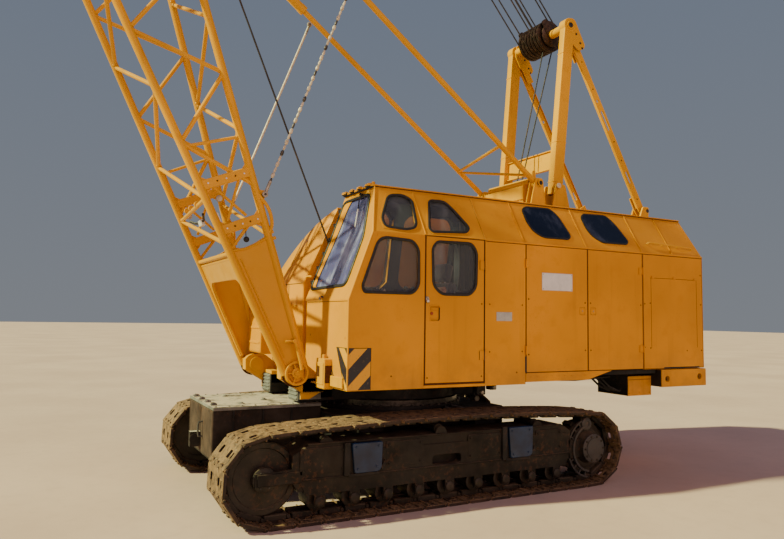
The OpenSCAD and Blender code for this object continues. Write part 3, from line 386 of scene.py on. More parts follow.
# ---------------------------------------------------------------- mesh helpers
class Mesh:
    """Collects joined shapes with their materials. T is a 4x4 that places what follows."""

    def __init__(self):
        self.v, self.f, self.m, self.looks = [], [], [], []
        self.T = None

    def look(self, name):
        if name not in self.looks:
            self.looks.append(name)
        return self.looks.index(name)

    def add(self, verts, faces, look):
        n, k = len(self.v), self.look(look)
        T = self.T
        if T is None:
            self.v += [tuple(p) for p in verts]
        else:
            self.v += [tuple(T @ Vector(p)) for p in verts]
        flip = T is not None and T.determinant() < 0
        for f in faces:
            self.f.append(tuple(n + i for i in (reversed(f) if flip else f)))
        self.m += [k] * len(faces)

    # a box with chamfered edges
    def box(self, a, b, look, e=0.004):
        a, b = [min(x, y) for x, y in zip(a, b)], [max(x, y) for x, y in zip(a, b)]
        e = min(e, *[(y - x) * 0.45 for x, y in zip(a, b)])
        c = [(x + y) / 2 for x, y in zip(a, b)]
        idx, vs = {}, []
        for i in (0, 1):
            for j in (0, 1):
                for k in (0, 1):
                    s = (i, j, k)
                    for ax in range(3):
                        p = [(b[q] if s[q] else a[q]) if q == ax else (b[q] - e if s[q] else a[q] + e) for q in range(3)]
                        idx[(s, ax)] = len(vs)
                        vs.append(p)
        fs = []
        for ax in range(3):
            o1, o2 = [q for q in range(3) if q != ax]
            for side in (0, 1):
                ring = []
                for u, w in ((0, 0), (1, 0), (1, 1), (0, 1)):
                    s = [0, 0, 0]
                    s[ax], s[o1], s[o2] = side, u, w
                    ring.append(idx[(tuple(s), ax)])
                fs.append(ring)
            for u in (0, 1):
                for w in (0, 1):
                    s0, s1 = [0, 0, 0], [0, 0, 0]
                    s0[ax], s1[ax] = 0, 1
                    s0[o1] = s1[o1] = u
                    s0[o2] = s1[o2] = w
                    fs.append([idx[(tuple(s0), o1)], idx[(tuple(s1), o1)], idx[(tuple(s1), o2)], idx[(tuple(s0), o2)]])
        for i in (0, 1):
            for j in (0, 1):
                for k in (0, 1):
                    fs.append([idx[((i, j, k), q)] for q in range(3)])
        out = []
        for f in fs:
            p0, p1, p2 = (Vector(vs[q]) for q in f[:3])
            n = (p1 - p0).cross(p2 - p0)
            mid = sum((Vector(vs[q]) for q in f), Vector()) / len(f)
            out.append(f if n.dot(mid - Vector(c)) > 0 else list(reversed(f)))
        self.add(vs, out, look)

    # rings of points joined into a skin; each ring is a list of the same length
    def skin(self, rings, look, closed=False, caps=True):
        n = len(rings[0])
        vs = [p for r in rings for p in r]
        fs = []
        m = len(rings)
        for i in range(m if closed else m - 1):
            a, b = i * n, ((i + 1) % m) * n
            for j in range(n):
                k = (j + 1) % n
                fs.append([a + j, a + k, b + k, b + j])
        if caps and not closed:
            fs.append(list(reversed(range(n))))
            fs.append([(m - 1) * n + j for j in range(n)])
        self.add(vs, fs, look)

    # a round bar or cylinder from p to q with chamfered ends
    def cyl(self, p, q, r, look, n=20, e=0.0, r2=None, turn=0.0):
        p, q = Vector(p), Vector(q)
        d = (q - p).normalized()
        u = d.orthogonal().normalized()
        w = d.cross(u)
        r2 = r if r2 is None else r2
        prof = [(0, r - e), (e, r)] if e else [(0, r)]
        L = (q - p).length
        prof += [(L - e, r2), (L, r2 - e)] if e else [(L, r2)]
        rings = [[p + d * z + u * (rr * math.cos(turn + 2 * PI * i / n)) + w * (rr * math.sin(turn + 2 * PI * i / n)) for i in range(n)] for z, rr in prof]
        self.skin(rings, look)

    # turned shape: profile of (radius, height) about the line from p along d
    def lathe(self, p, d, prof, look, n=32, closed=False):
        p, d = Vector(p), Vector(d).normalized()
        u = d.orthogonal().normalized()
        w = d.cross(u)
        rings = [[p + d * z + u * (r * math.cos(2 * PI * i / n)) + w * (r * math.sin(2 * PI * i / n)) for i in range(n)] for r, z in prof]
        self.skin(rings, look, closed)

    def ball(self, c, r, look, n=16):
        m = max(6, n // 2)
        self.lathe(c, (0, 0, 1), [(max(r * math.sin(PI * i / m), r * 0.02), -r * math.cos(PI * i / m)) for i in range(m + 1)], look, n)

    # an outline in two axes, given thickness along the third, with holes
    def plate(self, outline, lo, hi, look, axes=(0, 2, 1), holes=(), e=0.0):
        a, b, c = axes
        loops = [list(outline)] + [list(h) for h in holes]

        def area(l):
            return sum(l[i][0] * l[(i + 1) % len(l)][1] - l[(i + 1) % len(l)][0] * l[i][1] for i in range(len(l))) / 2
        if area(loops[0]) < 0:
            loops[0].reverse()
        for h in loops[1:]:
            if area(h) > 0:
                h.reverse()
        tris = tessellate_polygon([[Vector((x, y, 0)) for x, y in l] for l in loops])
        flat = [p for l in loops for p in l]

        def at(p, h):
            q = [0, 0, 0]
            q[a], q[b], q[c] = p[0], p[1], h
            return q
        inner = flat
        if e:
            inset = offset(loops[0], -e)
            inner = inset + flat[len(inset):]
        N = len(flat)
        vs = [at(p, lo) for p in inner] + [at(p, hi) for p in inner]
        fs = []
        for t in tris:
            x0, x1, x2 = (flat[i] for i in t)
            ccw = (x1[0] - x0[0]) * (x2[1] - x0[1]) - (x2[0] - x0[0]) * (x1[1] - x0[1]) > 0
            t = tuple(t) if ccw else tuple(reversed(t))
            fs.append([i for i in reversed(t)])
            fs.append([i + N for i in t])
        k = 0
        for li, l in enumerate(loops):
            n = len(l)
            if li == 0 and e:
                base = len(vs)
                vs += [at(p, lo + e) for p in l] + [at(p, hi - e) for p in l]
                for i in range(n):
                    j = (i + 1) % n
                    fs.append([i, j, base + j, base + i])
                    fs.append([base + i, base + j, base + n + j, base + n + i])
                    fs.append([base + n + i, base + n + j, N + j, N + i])
            else:
                for i in range(n):
                    j = (i + 1) % n
                    fs.append([k + i, k + j, N + k + j, N + k + i])
            k += n
        # (a, b, c) may be a left-handed order of axes
        if (b - a) % 3 != 1:
            fs = [list(reversed(f)) for f in fs]
        self.add(vs, fs, look)

    # a strip of section w by t that follows a path and faces along normals
    def strip(self, path, normals, w, t, look, closed=True, crown=0.35):
        n = len(path)
        rings = []
        for i in range(n):
            p = Vector(path[i])
            a = Vector(path[(i - 1) % n]) if closed or i > 0 else p
            b = Vector(path[(i + 1) % n]) if closed or i < n - 1 else p
            d = (b - a).normalized()
            nn = Vector(normals[i] if isinstance(normals, list) else normals).normalized()
            s = d.cross(nn).normalized()
            rings.append([p + s * (x * w / 2) + nn * (y * t) for x, y in
                          ((-1, 0), (-1, 0.55), (-crown * 1.6, 0.92), (0, 1), (crown * 1.6, 0.92), (1, 0.55), (1, 0))])
        self.skin(rings, look, closed=closed, caps=not closed)

    # a round tube along a path
    def tube(self, path, r, look, n=10, closed=False):
        pts = [Vector(p) for p in path]
        rings, u = [], None
        for i, p in enumerate(pts):
            a = pts[i - 1] if i > 0 or closed else p
            b = pts[(i + 1) % len(pts)] if i < len(pts) - 1 or closed else p
            d = (b - a).normalized()
            u = d.orthogonal().normalized() if u is None else (u - d * u.dot(d)).normalized()
            w = d.cross(u)
            rings.append([p + u * (r * math.cos(2 * PI * k / n)) + w * (r * math.sin(2 * PI * k / n)) for k in range(n)])
        self.skin(rings, look, closed=closed, caps=not closed)

    # a hexagon head with a washer, on a surface at p that faces d
    def bolt(self, p, d, r=0.014, look="brass", h=None):
        p, d = Vector(p), Vector(d).normalized()
        h = h or r * 0.9
        self.cyl(p - d * 0.002, p + d * r * 0.25, r * 1.35, look, 12)
        self.cyl(p, p + d * (r * 0.25 + h), r, look, 6, e=r * 0.12)

    def make(self, name, body, replaces=()):
        me = bpy.data.meshes.new(name)
        me.from_pydata([(x + SX, y, z) for x, y, z in self.v], [], self.f)
        for l in self.looks:
            me.materials.append(M[l])
        me.polygons.foreach_set("material_index", self.m)
        me.polygons.foreach_set("use_smooth", [True] * len(self.f))
        me.validate()
        me.update()
        me.set_sharp_from_angle(angle=math.radians(34))
        o = bpy.data.objects.new(name, me)
        bpy.context.scene.collection.objects.link(o)
        if isinstance(body, str):
            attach(o, body)
        if replaces:
            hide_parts(*replaces)
        return o


def offset(poly, d):
    """The closed outline moved outwards by d (inwards if d is negative), for an outline that turns left."""
    n, out = len(poly), []
    for i in range(n):
        p, a, b = poly[i], poly[i - 1], poly[(i + 1) % n]
        e1 = Vector((p[0] - a[0], p[1] - a[1])).normalized()
        e2 = Vector((b[0] - p[0], b[1] - p[1])).normalized()
        n1, n2 = Vector((e1.y, -e1.x)), Vector((e2.y, -e2.x))
        m = n1 + n2
        if m.length < 1e-6:
            m = n1
        m.normalize()
        k = d / max(0.35, m.dot(n1))
        out.append((p[0] + m.x * k, p[1] + m.y * k))
    return out


def ccw(poly):
    a = sum(poly[i][0] * poly[(i + 1) % len(poly)][1] - poly[(i + 1) % len(poly)][0] * poly[i][1] for i in range(len(poly)))
    return list(poly) if a > 0 else list(reversed(poly))


def soft(poly, r, n=5):
    """Rounds the corners of an outline."""
    out, m = [], len(poly)
    for i in range(m):
        p, a, b = Vector(poly[i]), Vector(poly[i - 1]), Vector(poly[(i + 1) % m])
        k = min(r, (a - p).length * 0.45, (b - p).length * 0.45)
        q0, q1 = p + (a - p).normalized() * k, p + (b - p).normalized() * k
        for j in range(n + 1):
            t = j / n
            w = q0 * (1 - t) ** 2 + p * (2 * t * (1 - t)) + q1 * t * t
            out.append(tuple(w))
    return out


def ring2(cx, cz, r, n=24, a0=0.0):
    return [(cx + r * math.cos(a0 + 2 * PI * i / n), cz + r * math.sin(a0 + 2 * PI * i / n)) for i in range(n)]


def mirror_y(me):
    """A copy of what a Mesh holds, on the other side."""
    n = len(me.v)
    me.v += [(x, -y, z) for x, y, z in me.v[:n]]
    me.f += [tuple(n + i for i in reversed(f)) for f in me.f[:]]
    me.m += me.m[:]
    return me


# ---------------------------------------------------------------- tracks
WX, TR, ARCH = 2.020, 0.435, 0.060
TLEN = 4 * WX + 2 * PI * TR
SHOES = 39
PITCH = TLEN / SHOES


def track_pt(s, d=0.0):
    """A point s along the loop from the idler's foot and d inside it, as (x, z)."""
    a1 = 2 * WX
    a2 = a1 + PI * TR
    a3 = a2 + 2 * WX
    s %= TLEN
    if s < a1:
        return s - WX, d
    if s < a2:
        a = (s - a1) / TR - PI / 2
        return WX + (TR - d) * math.cos(a), TR + (TR - d) * math.sin(a)
    if s < a3:
        x = WX - (s - a2)
        return x, 2 * TR - d + ARCH * (1 - (x / WX) ** 2)
    a = (s - a3) / TR + PI / 2
    return -WX + (TR - d) * math.cos(a), TR + (TR - d) * math.sin(a)


def shoe_mesh(flip):
    """One shoe about its middle: a along the loop, b across it, c outwards."""
    me = Mesh()
    L = PITCH - 0.0227
    h = L / 2
    # a comb of fingers on each long edge, that of the next shoe between them
    lead, trail = [], []
    ys = [-0.300, -0.196, -0.190, -0.118, -0.112, -0.040, -0.034, 0.036, 0.042, 0.116, 0.122, 0.194, 0.200, 0.300]
    for i in range(0, len(ys) - 1):
        y0, y1 = ys[i], ys[i + 1]
        if y1 - y0 < 0.02:
            continue
        k = sum(1 for q in range(i) if ys[q + 1] - ys[q] >= 0.02)
        out = k % 2 == 0
        lead += [(h + (0.030 if out else -0.025), y0 + 0.006), (h + (0.030 if out else -0.025), y1 - 0.006)]
        trail += [(-h + (0.0153 if out else -0.0397), y1 - 0.006), (-h + (0.0153 if out else -0.0397), y0 + 0.006)]
    outline = lead + list(reversed(trail[::1]))[::1]
    # order: up the leading edge, then back down the trailing edge
    trail_down = sorted(trail, key=lambda p: -p[1])
    fixed = []
    i = 0
    while i < len(trail_down):
        fixed += [trail_down[i], trail_down[i + 1]]
        i += 2
    outline = lead + fixed
    # lobed ends
    end = []
    for (x, y) in outline:
        if abs(abs(y) - 0.294) < 0.001:
            s = 1 if y > 0 else -1
            q = 0.030
            if x > 0:
                pts = [(x, y - s * q), (x - q * 0.3, y - s * q * 0.3), (x - q, y)]
            else:
                pts = [(x + q * 0.8, y), (x + q * 0.25, y - s * q * 0.3), (x, y - s * q)]
            end += pts if s > 0 else list(reversed(pts))
        else:
            end.append((x, y))
    outline = end
    s = -1 if flip else 1
    big = soft([(-0.040, 0.100), (0.042, 0.100), (0.042, 0.172), (-0.040, 0.172)], 0.014, 3)
    small = soft([(-0.030, 0.208), (0.036, 0.208), (0.036, 0.240), (-0.030, 0.240)], 0.012, 3)
    inner = soft([(-0.040, -0.172), (0.042, -0.172), (0.042, -0.100), (-0.040, -0.100)], 0.014, 3)
    holes = [big, small, inner]
    flipy = lambda l: ccw([(x, y * s) for x, y in l])
    me.plate(flipy(outline), -0.036, 0.0, "track", (0, 1, 2), [flipy(q) for q in holes], e=0.0045)
    # raised lips along both edges, and the chain link below with its pin
    me.box((-h + 0.048, -0.292, -0.052), (-h + 0.064, 0.292, -0.034), "track", 0.003)
    me.box((h - 0.050, -0.292, -0.050), (h - 0.036, 0.292, -0.034), "track", 0.003)
    for b in (-0.112, 0.052):
        me.box((-0.104, b, -0.090), (0.120, b + 0.060, -0.034), "gear", 0.008)
    me.cyl((h + 0.010, -0.120, -0.062), (h + 0.010, 0.120, -0.062), 0.019, "gear", 12, e=0.003)
    # knuckle and pin head at the outer end
    me.cyl((h + 0.007, s * 0.252, -0.024), (h + 0.007, s * 0.303, -0.024), 0.017, "track", 12, e=0.004)
    me.cyl((h + 0.007, s * 0.300, -0.024), (h + 0.007, s * 0.309, -0.024), 0.009, "gear", 8, e=0.002)
    me.cyl((h + 0.007, -s * 0.252, -0.024), (h + 0.007, -s * 0.303, -0.024), 0.017, "track", 12, e=0.004)
    return me


def build_track(side, name, node):
    one = shoe_mesh(side > 0)
    me = Mesh()
    for i in range(SHOES):
        s0 = i * PITCH
        (x0, z0), (x1, z1) = track_pt(s0 + 0.03 * PITCH), track_pt(s0 + 0.90 * PITCH)
        u = Vector((x1 - x0, 0, z1 - z0)).normalized()
        y = Vector((0, -1, 0))
        c = u.cross(y)
        m = Matrix((u, y, c)).transposed().to_4x4()
        m.translation = Vector(((x0 + x1) / 2, side * 1.3, (z0 + z1) / 2))
        me.T = m
        n = len(me.v)
        me.v += [tuple(m @ Vector(p)) for p in one.v]
        me.f += [tuple(n + k for k in f) for f in one.f]
        if i == 0:
            for l in one.looks:
                me.look(l)
        me.m += one.m
    me.T = None
    me.make(name, "undercarriage", [node])


build_track(-1, "left_track_shoes", "track_left")
build_track(1, "right_track_shoes", "track_right")


def build_running_gear():
    """Faces of the sprockets and idlers, guards, plates and bolts on both track frames."""
    me = Mesh()
    y = -1.5
    # sprocket hub: stepped cover with a ring of bolts
    c = (WX, 0, TR)
    me.lathe((WX, -1.545, TR), (0, -1, 0), [(0.168, 0.0), (0.168, 0.012), (0.155, 0.020), (0.120, 0.022), (0.115, 0.030), (0.050, 0.036), (0.002, 0.037)], "hub", 40)
    for i in range(10):
        a = 2 * PI * i / 10
        me.bolt((WX + 0.142 * math.cos(a), -1.565, TR + 0.142 * math.sin(a)), (0, -1, 0), 0.011, "gear")
    me.lathe((WX, -1.400, TR), (0, -1, 0), [(0.25, 0.0), (0.25, 0.03), (0.235, 0.040), (0.19, 0.042), (0.17, 0.10), (0.168, 0.146)], "gear", 40)
    # ring guard round the hub, open to the rear
    n = 26
    for r0, r1, y0, y1 in ((0.262, 0.285, -1.475, -1.515), (0.335, 0.352, -1.470, -1.500)):
        rings = []
        for i in range(n + 1):
            a = math.radians(112 + 150 * i / n)
            ca, sa = math.cos(a), math.sin(a)
            rings.append([(WX + r0 * ca, y0, TR + r0 * sa), (WX + r1 * ca, y0, TR + r1 * sa), (WX + r1 * ca, y1, TR + r1 * sa), (WX + r0 * ca, y1, TR + r0 * sa)])
        me.skin(rings, "hub")
    for i in range(9):
        a = math.radians(120 + 17 * i)
        ca, sa = math.cos(a), math.sin(a)
        ta, tb = -sa * 0.008, ca * 0.008
        rings = []
        for r in (0.268, 0.346):
            p = Vector((WX + r * ca, 0, TR + r * sa))
            rings.append([(p.x - ta, -1.470, p.z - tb), (p.x + ta, -1.470, p.z + tb), (p.x + ta, -1.492, p.z + tb), (p.x - ta, -1.492, p.z - tb)])
        me.skin(rings, "hub")
    me.lathe((WX - 0.06, -1.470, TR + 0.285), (0, -1, 0), [(0.075, 0), (0.075, 0.035), (0.060, 0.045), (0.036, 0.046), (0.030, 0.035), (0.002, 0.034)], "hub", 24)
    # idler: rim, ribs and its sliding block
    me.lathe((-WX, -1.375, TR), (0, -1, 0), [(0.343, -0.01), (0.343, 0.022), (0.332, 0.030), (0.285, 0.030), (0.275, 0.015)], "gear", 48)
    for i in range(7):
        a = 2 * PI * i / 7 + 0.3
        ca, sa = math.cos(a), math.sin(a)
        rings = []
        for r, w in ((0.10, 0.030), (0.20, 0.016), (0.285, 0.024)):
            p = Vector((-WX + r * ca, 0, TR + r * sa))
            rings.append([(p.x + sa * w, -1.360, p.z - ca * w), (p.x - sa * w, -1.360, p.z + ca * w), (p.x - sa * w, -1.392, p.z + ca * w), (p.x + sa * w, -1.392, p.z - ca * w)])
        me.skin(rings, "gear")
    me.lathe((-WX, -1.458, TR), (0, -1, 0), [(0.115, -0.04), (0.115, 0.020), (0.100, 0.030), (0.055, 0.032), (0.050, 0.044), (0.002, 0.045)], "gear", 28)
    for i in range(6):
        a = 2 * PI * i / 6
        me.bolt((-WX + 0.080 * math.cos(a), -1.486, TR + 0.080 * math.sin(a)), (0, -1, 0), 0.009, "hub")
    me.box((-2.10, -1.512, 0.385), (-1.66, -1.494, 0.495), "frame", 0.006)
    me.cyl((-1.66, -1.475, 0.44), (-1.50, -1.475, 0.44), 0.034, "gear", 18, e=0.004)
    # welded cover plates, seams and bolts along the frame
    for x0, x1, z0, z1 in ((-1.690, -1.215, 0.452, 0.700), (-0.770, -0.330, 0.450, 0.705), (0.230, 0.690, 0.450, 0.705), (1.170, 1.560, 0.455, 0.690)):
        o = soft([(x0, z0), (x1, z0), (x1, z1), (x0, z1)], 0.025, 3)
        me.plate(o, y - 0.012, y + 0.004, "frame", (0, 2, 1), e=0.004)
        for bx in (x0 + 0.035, x1 - 0.035):
            for bz in (z0 + 0.035, z1 - 0.035):
                me.bolt((bx, y - 0.012, bz), (0, -1, 0), 0.010, "frame")
    me.box((-1.62, y - 0.016, 0.728), (1.56, y + 0.03, 0.744), "frame", 0.004)
    me.box((-1.66, y - 0.022, 0.400), (1.66, y + 0.002, 0.416), "frame", 0.004)
    for i in range(9):
        x = -1.48 + 0.37 * i
        # roller end covers
        me.lathe((x, -1.508, 0.186), (0, -1, 0), [(0.052, -0.01), (0.052, 0.014), (0.040, 0.022), (0.020, 0.023), (0.002, 0.024)], "gear", 20)
        me.lathe((x, -1.415, 0.186), (0, -1, 0), [(0.102, -0.01), (0.104, 0.010), (0.095, 0.014), (0.060, 0.014), (0.055, 0.006)], "gear", 24)
        for dx in (-0.042, 0.042):
            me.bolt((x + dx, -1.510, 0.240), (0, -1, 0), 0.008, "gear")
    # oval hole's rim
    oval = soft([(-0.225, 0.414), (0.153, 0.414), (0.153, 0.532), (-0.225, 0.532)], 0.058, 6)
    me.strip([(x, y, z) for x, z in oval], (0, -1, 0), 0.018, 0.010, "frame")
    # carrier rollers' flanges and brackets
    for x, c in ((-1.416, 0.024), (-0.104, 0.054), (1.206, 0.033)):
        z = 2 * TR + c - 0.040 - 0.050 - 0.048 - 0.002
        me.lathe((x, -1.425, z), (0, -1, 0), [(0.055, 0), (0.055, 0.015), (0.045, 0.022), (0.030, 0.022), (0.026, 0.034), (0.002, 0.036)], "gear", 20)
        me.plate(soft([(x - 0.085, 0.735), (x + 0.085, 0.735), (x + 0.040, z + 0.036), (x - 0.040, z + 0.036)], 0.03, 3), -1.500, -1.478, "frame", (0, 2, 1), e=0.004)
    # the two blue covers with their dark flanges
    for x0, x1, z0, z1 in ((-1.170, -0.825, 0.430, 0.722), (0.750, 1.100, 0.420, 0.757)):
        o = soft([(x0 + 0.01, z1), (x1, z1), (x1 - 0.01, z0 + 0.03), (x1 - 0.05, z0), (x0 + 0.04, z0)], 0.02, 3)
        me.plate(o, -1.552, -1.500, "blue", (0, 2, 1), e=0.006)
        me.box((x0 - 0.070, -1.540, z0 - 0.02), (x0 - 0.004, -1.494, z1 + 0.005), "black", 0.005)
        me.box((x0 - 0.02, -1.530, z0 - 0.035), (x1 - 0.03, -1.496, z0 - 0.006), "black", 0.004)
        me.plate(soft([(x1 - 0.005, z0 + 0.01), (x1 + 0.045, z0 + 0.02), (x1 + 0.040, z0 + 0.11), (x1 - 0.005, z0 + 0.05)], 0.01, 2), -1.535, -1.496, "black", (0, 2, 1))
        for q in ((x0 + 0.05, z1 - 0.04), (x1 - 0.05, z1 - 0.04), (x0 + 0.07, z0 + 0.04), (x1 - 0.07, z0 + 0.05)):
            me.bolt((q[0], -1.552, q[1]), (0, -1, 0), 0.009, "blue")
    mirror_y(me)
    me.make("running_gear_details", "undercarriage")


build_running_gear()


def build_front_box():
    me = Mesh()
    # dusty top plate with a thin lip, laid on the box
    me.box((-2.302, -0.582, 0.996), (-1.105, 0.582, 1.004), "box_top", 0.002)
    me.box((-2.306, -0.586, 0.972), (-2.298, 0.586, 1.000), "girder", 0.002)
    for s in (-1, 1):
        me.box((-2.300, s * 0.584, 0.968), (-1.110, s * 0.590, 0.998), "girder", 0.002)
    # front face: two leaves with a seam between them and a loop handle
    for s in (-1, 1):
        me.box((-2.303, s * 0.006, 0.470), (-2.293, s * 0.566, 0.962), "box_front", 0.003)
        me.box((-2.307, s * 0.020, 0.490), (-2.301, s * 0.036, 0.945), "box_front", 0.002)
        me.box((-2.307, s * 0.540, 0.490), (-2.301, s * 0.556, 0.945), "box_front", 0.002)
    me.tube([(-2.302, -0.12, 0.80), (-2.345, -0.12, 0.795), (-2.352, -0.12, 0.76), (-2.352, -0.12, 0.68), (-2.345, -0.12, 0.645), (-2.302, -0.12, 0.64)], 0.010, "grey_pad", 8)
    # hinge lugs in pairs on the top
    for yy in (-0.40, -0.12, 0.16, 0.44):
        for d in (-0.018, 0.018):
            me.plate(soft([(-2.292, 1.002), (-2.222, 1.002), (-2.232, 1.030), (-2.275, 1.036)], 0.008, 2), yy + d - 0.006, yy + d + 0.006, "girder", (0, 2, 1))
        me.cyl((-2.255, yy - 0.030, 1.019), (-2.255, yy + 0.030, 1.019), 0.006, "grease", 8)
    # side: welded stiffeners and a filler
    for s in (-1, 1):
        for x in (-2.10, -1.78, -1.46):
            me.box((x, s * 0.573, 0.470), (x + 0.022, s * 0.592, 0.965), "black", 0.004)
        me.box((-2.28, s * 0.573, 0.455), (-1.12, s * 0.586, 0.478), "black", 0.004)
    # small fittings on the top
    for q in ((-1.95, 0.34), (-1.62, -0.10), (-1.95, -0.36)):
        me.lathe((q[0], q[1], 1.003), (0, 0, 1), [(0.034, 0), (0.034, 0.006), (0.022, 0.010), (0.018, 0.018), (0.002, 0.019)], "girder", 18)
    for i in range(9):
        me.bolt((-2.27 + 0.14 * i, -0.550, 1.003), (0, 0, 1), 0.009, "girder")
        me.bolt((-2.27 + 0.14 * i, 0.550, 1.003), (0, 0, 1), 0.009, "girder")
    # towing eye
    me.lathe((-2.361, -0.044, 0.600), (0, -1, 0), [(0.034, -0.002), (0.062, 0), (0.062, 0.006), (0.034, 0.008)], "black", 24)
    # lower deck around the slewing ring: ring bolts
    for i in range(48):
        a = 2 * PI * i / 48
        me.bolt((0.925 * math.cos(a), 0.925 * math.sin(a), 0.957), (0, 0, 1), 0.013, "grease")
    me.make("front_box_details", "undercarriage")
    # side faces of the lower frame: ribs and bolted plates
    me = Mesh()
    for s in (-1, 1):
        for x in (-0.55, -0.18, 0.19, 0.56):
            me.box((x, s * 0.868, 0.36), (x + 0.022, s * 0.905, 0.88), "black", 0.004)
        for x in (-0.870, 0.610):
            me.plate([(x, 0.40), (x + 0.28, 0.40), (x + 0.28, 0.79), (x, 0.79)], s * 1.088, s * 1.104, "black", (0, 2, 1), e=0.003) if s > 0 else \
                me.plate([(x, 0.40), (x + 0.28, 0.40), (x + 0.28, 0.79), (x, 0.79)], s * 1.104, s * 1.088, "black", (0, 2, 1), e=0.003)
            for bz in (0.45, 0.60, 0.75):
                for bx in (x + 0.03, x + 0.25):
                    me.bolt((bx, s * 1.040, bz), (0, s, 0), 0.012, "gear")
    # drain pipes and a hose loop at the swivel
    me.tube([(0.30, -0.86, 0.90), (0.30, -0.95, 0.93), (0.42, -1.02, 0.90), (0.60, -1.04, 0.82), (0.72, -1.05, 0.70)], 0.016, "rubber", 8)
    me.tube([(0.36, -0.86, 0.90), (0.37, -0.96, 0.955), (0.50, -1.04, 0.92), (0.66, -1.06, 0.84), (0.80, -1.06, 0.72)], 0.016, "rubber", 8)
    me.make("lower_frame_ribs", "undercarriage")


build_front_box()


# ---------------------------------------------------------------- house, hood and cab
M["tan"] = plain("seat_pad_look", (0.30, 0.155, 0.085), (0.46, 0.27, 0.165), 0.7, 40, 0, 0.12, 0.25, sheen=0.2)
M["lining"] = M["liner"]
RUN, RISE = 0.33, 0.542
EAVE = 2.848


def plane(origin, u, v):
    u, v = Vector(u).normalized(), Vector(v).normalized()
    m = Matrix((u, v, u.cross(v))).transposed().to_4x4()
    m.translation = Vector(origin)
    return m


WALL_L = plane((0, -1.5, 0), (1, 0, 0), (0, 0, 1))
SLOPE_L = plane((0, -1.5, EAVE), (1, 0, 0), (0, RUN, RISE))
LEAN_R = plane((0, -0.330, 2.280), (-1, 0, 0), (0, -0.210, 1.110))


def on_slope(poly):
    return [(x, (z - EAVE) * math.hypot(RUN, RISE) / RISE) for x, z in poly]


def window(me, T, poly, r, fill=None, pane="glass", w=0.030, t=0.013, deep=0.014):
    """Rubber seal with rounded corners, the pane in it, and sheet metal filling the corners of the opening."""
    me.T = T
    poly = ccw(poly)
    edge = soft(offset(poly, -0.012), r, 7)
    if fill:
        me.plate(offset(poly, 0.018), -0.006, 0.0025, fill, (0, 1, 2), [edge])
    me.strip([(x, y, 0.0) for x, y in edge], (0, 0, 1), w, t, "rubber")
    me.plate(edge, -deep - 0.005, -deep, pane, (0, 1, 2))
    me.T = None


def leaf_frame(me, x0, x1, z0, z1, w=0.006, left=None, low=None):
    """Thin dark edge of a flush door."""
    y = -1.5
    for ax, az, bx_, bz_ in ((x0, z0, x0 + (left or w), z1), (x1 - w, z0, x1, z1), (x0, z0, x1, z0 + (low or w)), (x0, z1 - w, x1, z1)):
        me.box((ax, y - 0.0016, az), (bx_, y + 0.003, bz_), "seam", 0.0005)


def flush_latch(me, x, z):
    me.plate(soft([(x - 0.040, z - 0.040), (x + 0.040, z - 0.040), (x + 0.040, z + 0.040), (x - 0.040, z + 0.040)], 0.014, 3), -1.5012, -1.490, "house", (0, 2, 1), e=0.001)
    me.cyl((x, -1.5005, z), (x, -1.5035, z), 0.009, "brass", 14, e=0.001)


def dots(me, pts, look="seam", r=0.010, y=-1.5):
    for x, z in pts:
        me.cyl((x, y + 0.001, z), (x, y - 0.005, z), r, look, 10, e=0.002)


# window openings, as (x, z)
WIN_FRONT = [(-1.080, 2.276), (-1.054, 2.203), (-0.471, 2.205), (-0.392, 2.301), (-0.398, 2.691), (-0.480, 2.787), (-0.890, 2.805)]
WIN_DOOR = [(-0.238, 2.306), (-0.125, 2.207), (0.257, 2.211), (0.344, 2.311), (0.352, 2.704), (0.272, 2.806), (-0.188, 2.799), (-0.252, 2.716)]
WIN_UP1 = [(-0.657, 3.300), (-0.459, 3.320), (-0.350, 3.260), (-0.389, 2.972), (-0.429, 2.915), (-0.542, 2.880), (-0.808, 2.900), (-0.820, 3.004)]
WIN_UP2 = [(-0.142, 3.290), (0.079, 3.295), (0.178, 3.176), (0.304, 2.978), (0.229, 2.907), (-0.234, 2.880), (-0.265, 2.929)]
WIN_FAR1 = [(-1.085, 2.420), (-1.030, 2.300), (-0.300, 2.300), (-0.215, 2.390), (-0.205, 3.140), (-0.290, 3.240), (-0.800, 3.240)]
WIN_FAR2 = [(-0.060, 2.390), (0.020, 2.300), (0.600, 2.300), (0.680, 2.380), (0.680, 3.120), (0.600, 3.230), (0.040, 3.240), (-0.060, 3.140)]
ROOF_WIN = [[(1.195, 3.290), (1.270, 3.335), (1.655, 3.345), (1.735, 3.255), (1.800, 3.000), (1.745, 2.948), (1.345, 2.945), (1.235, 3.010), (1.190, 3.120)],
            [(2.140, 3.270), (2.205, 3.325), (2.600, 3.338), (2.690, 3.235), (2.785, 2.995), (2.735, 2.952), (2.310, 2.946), (2.185, 3.020), (2.140, 3.120)]]


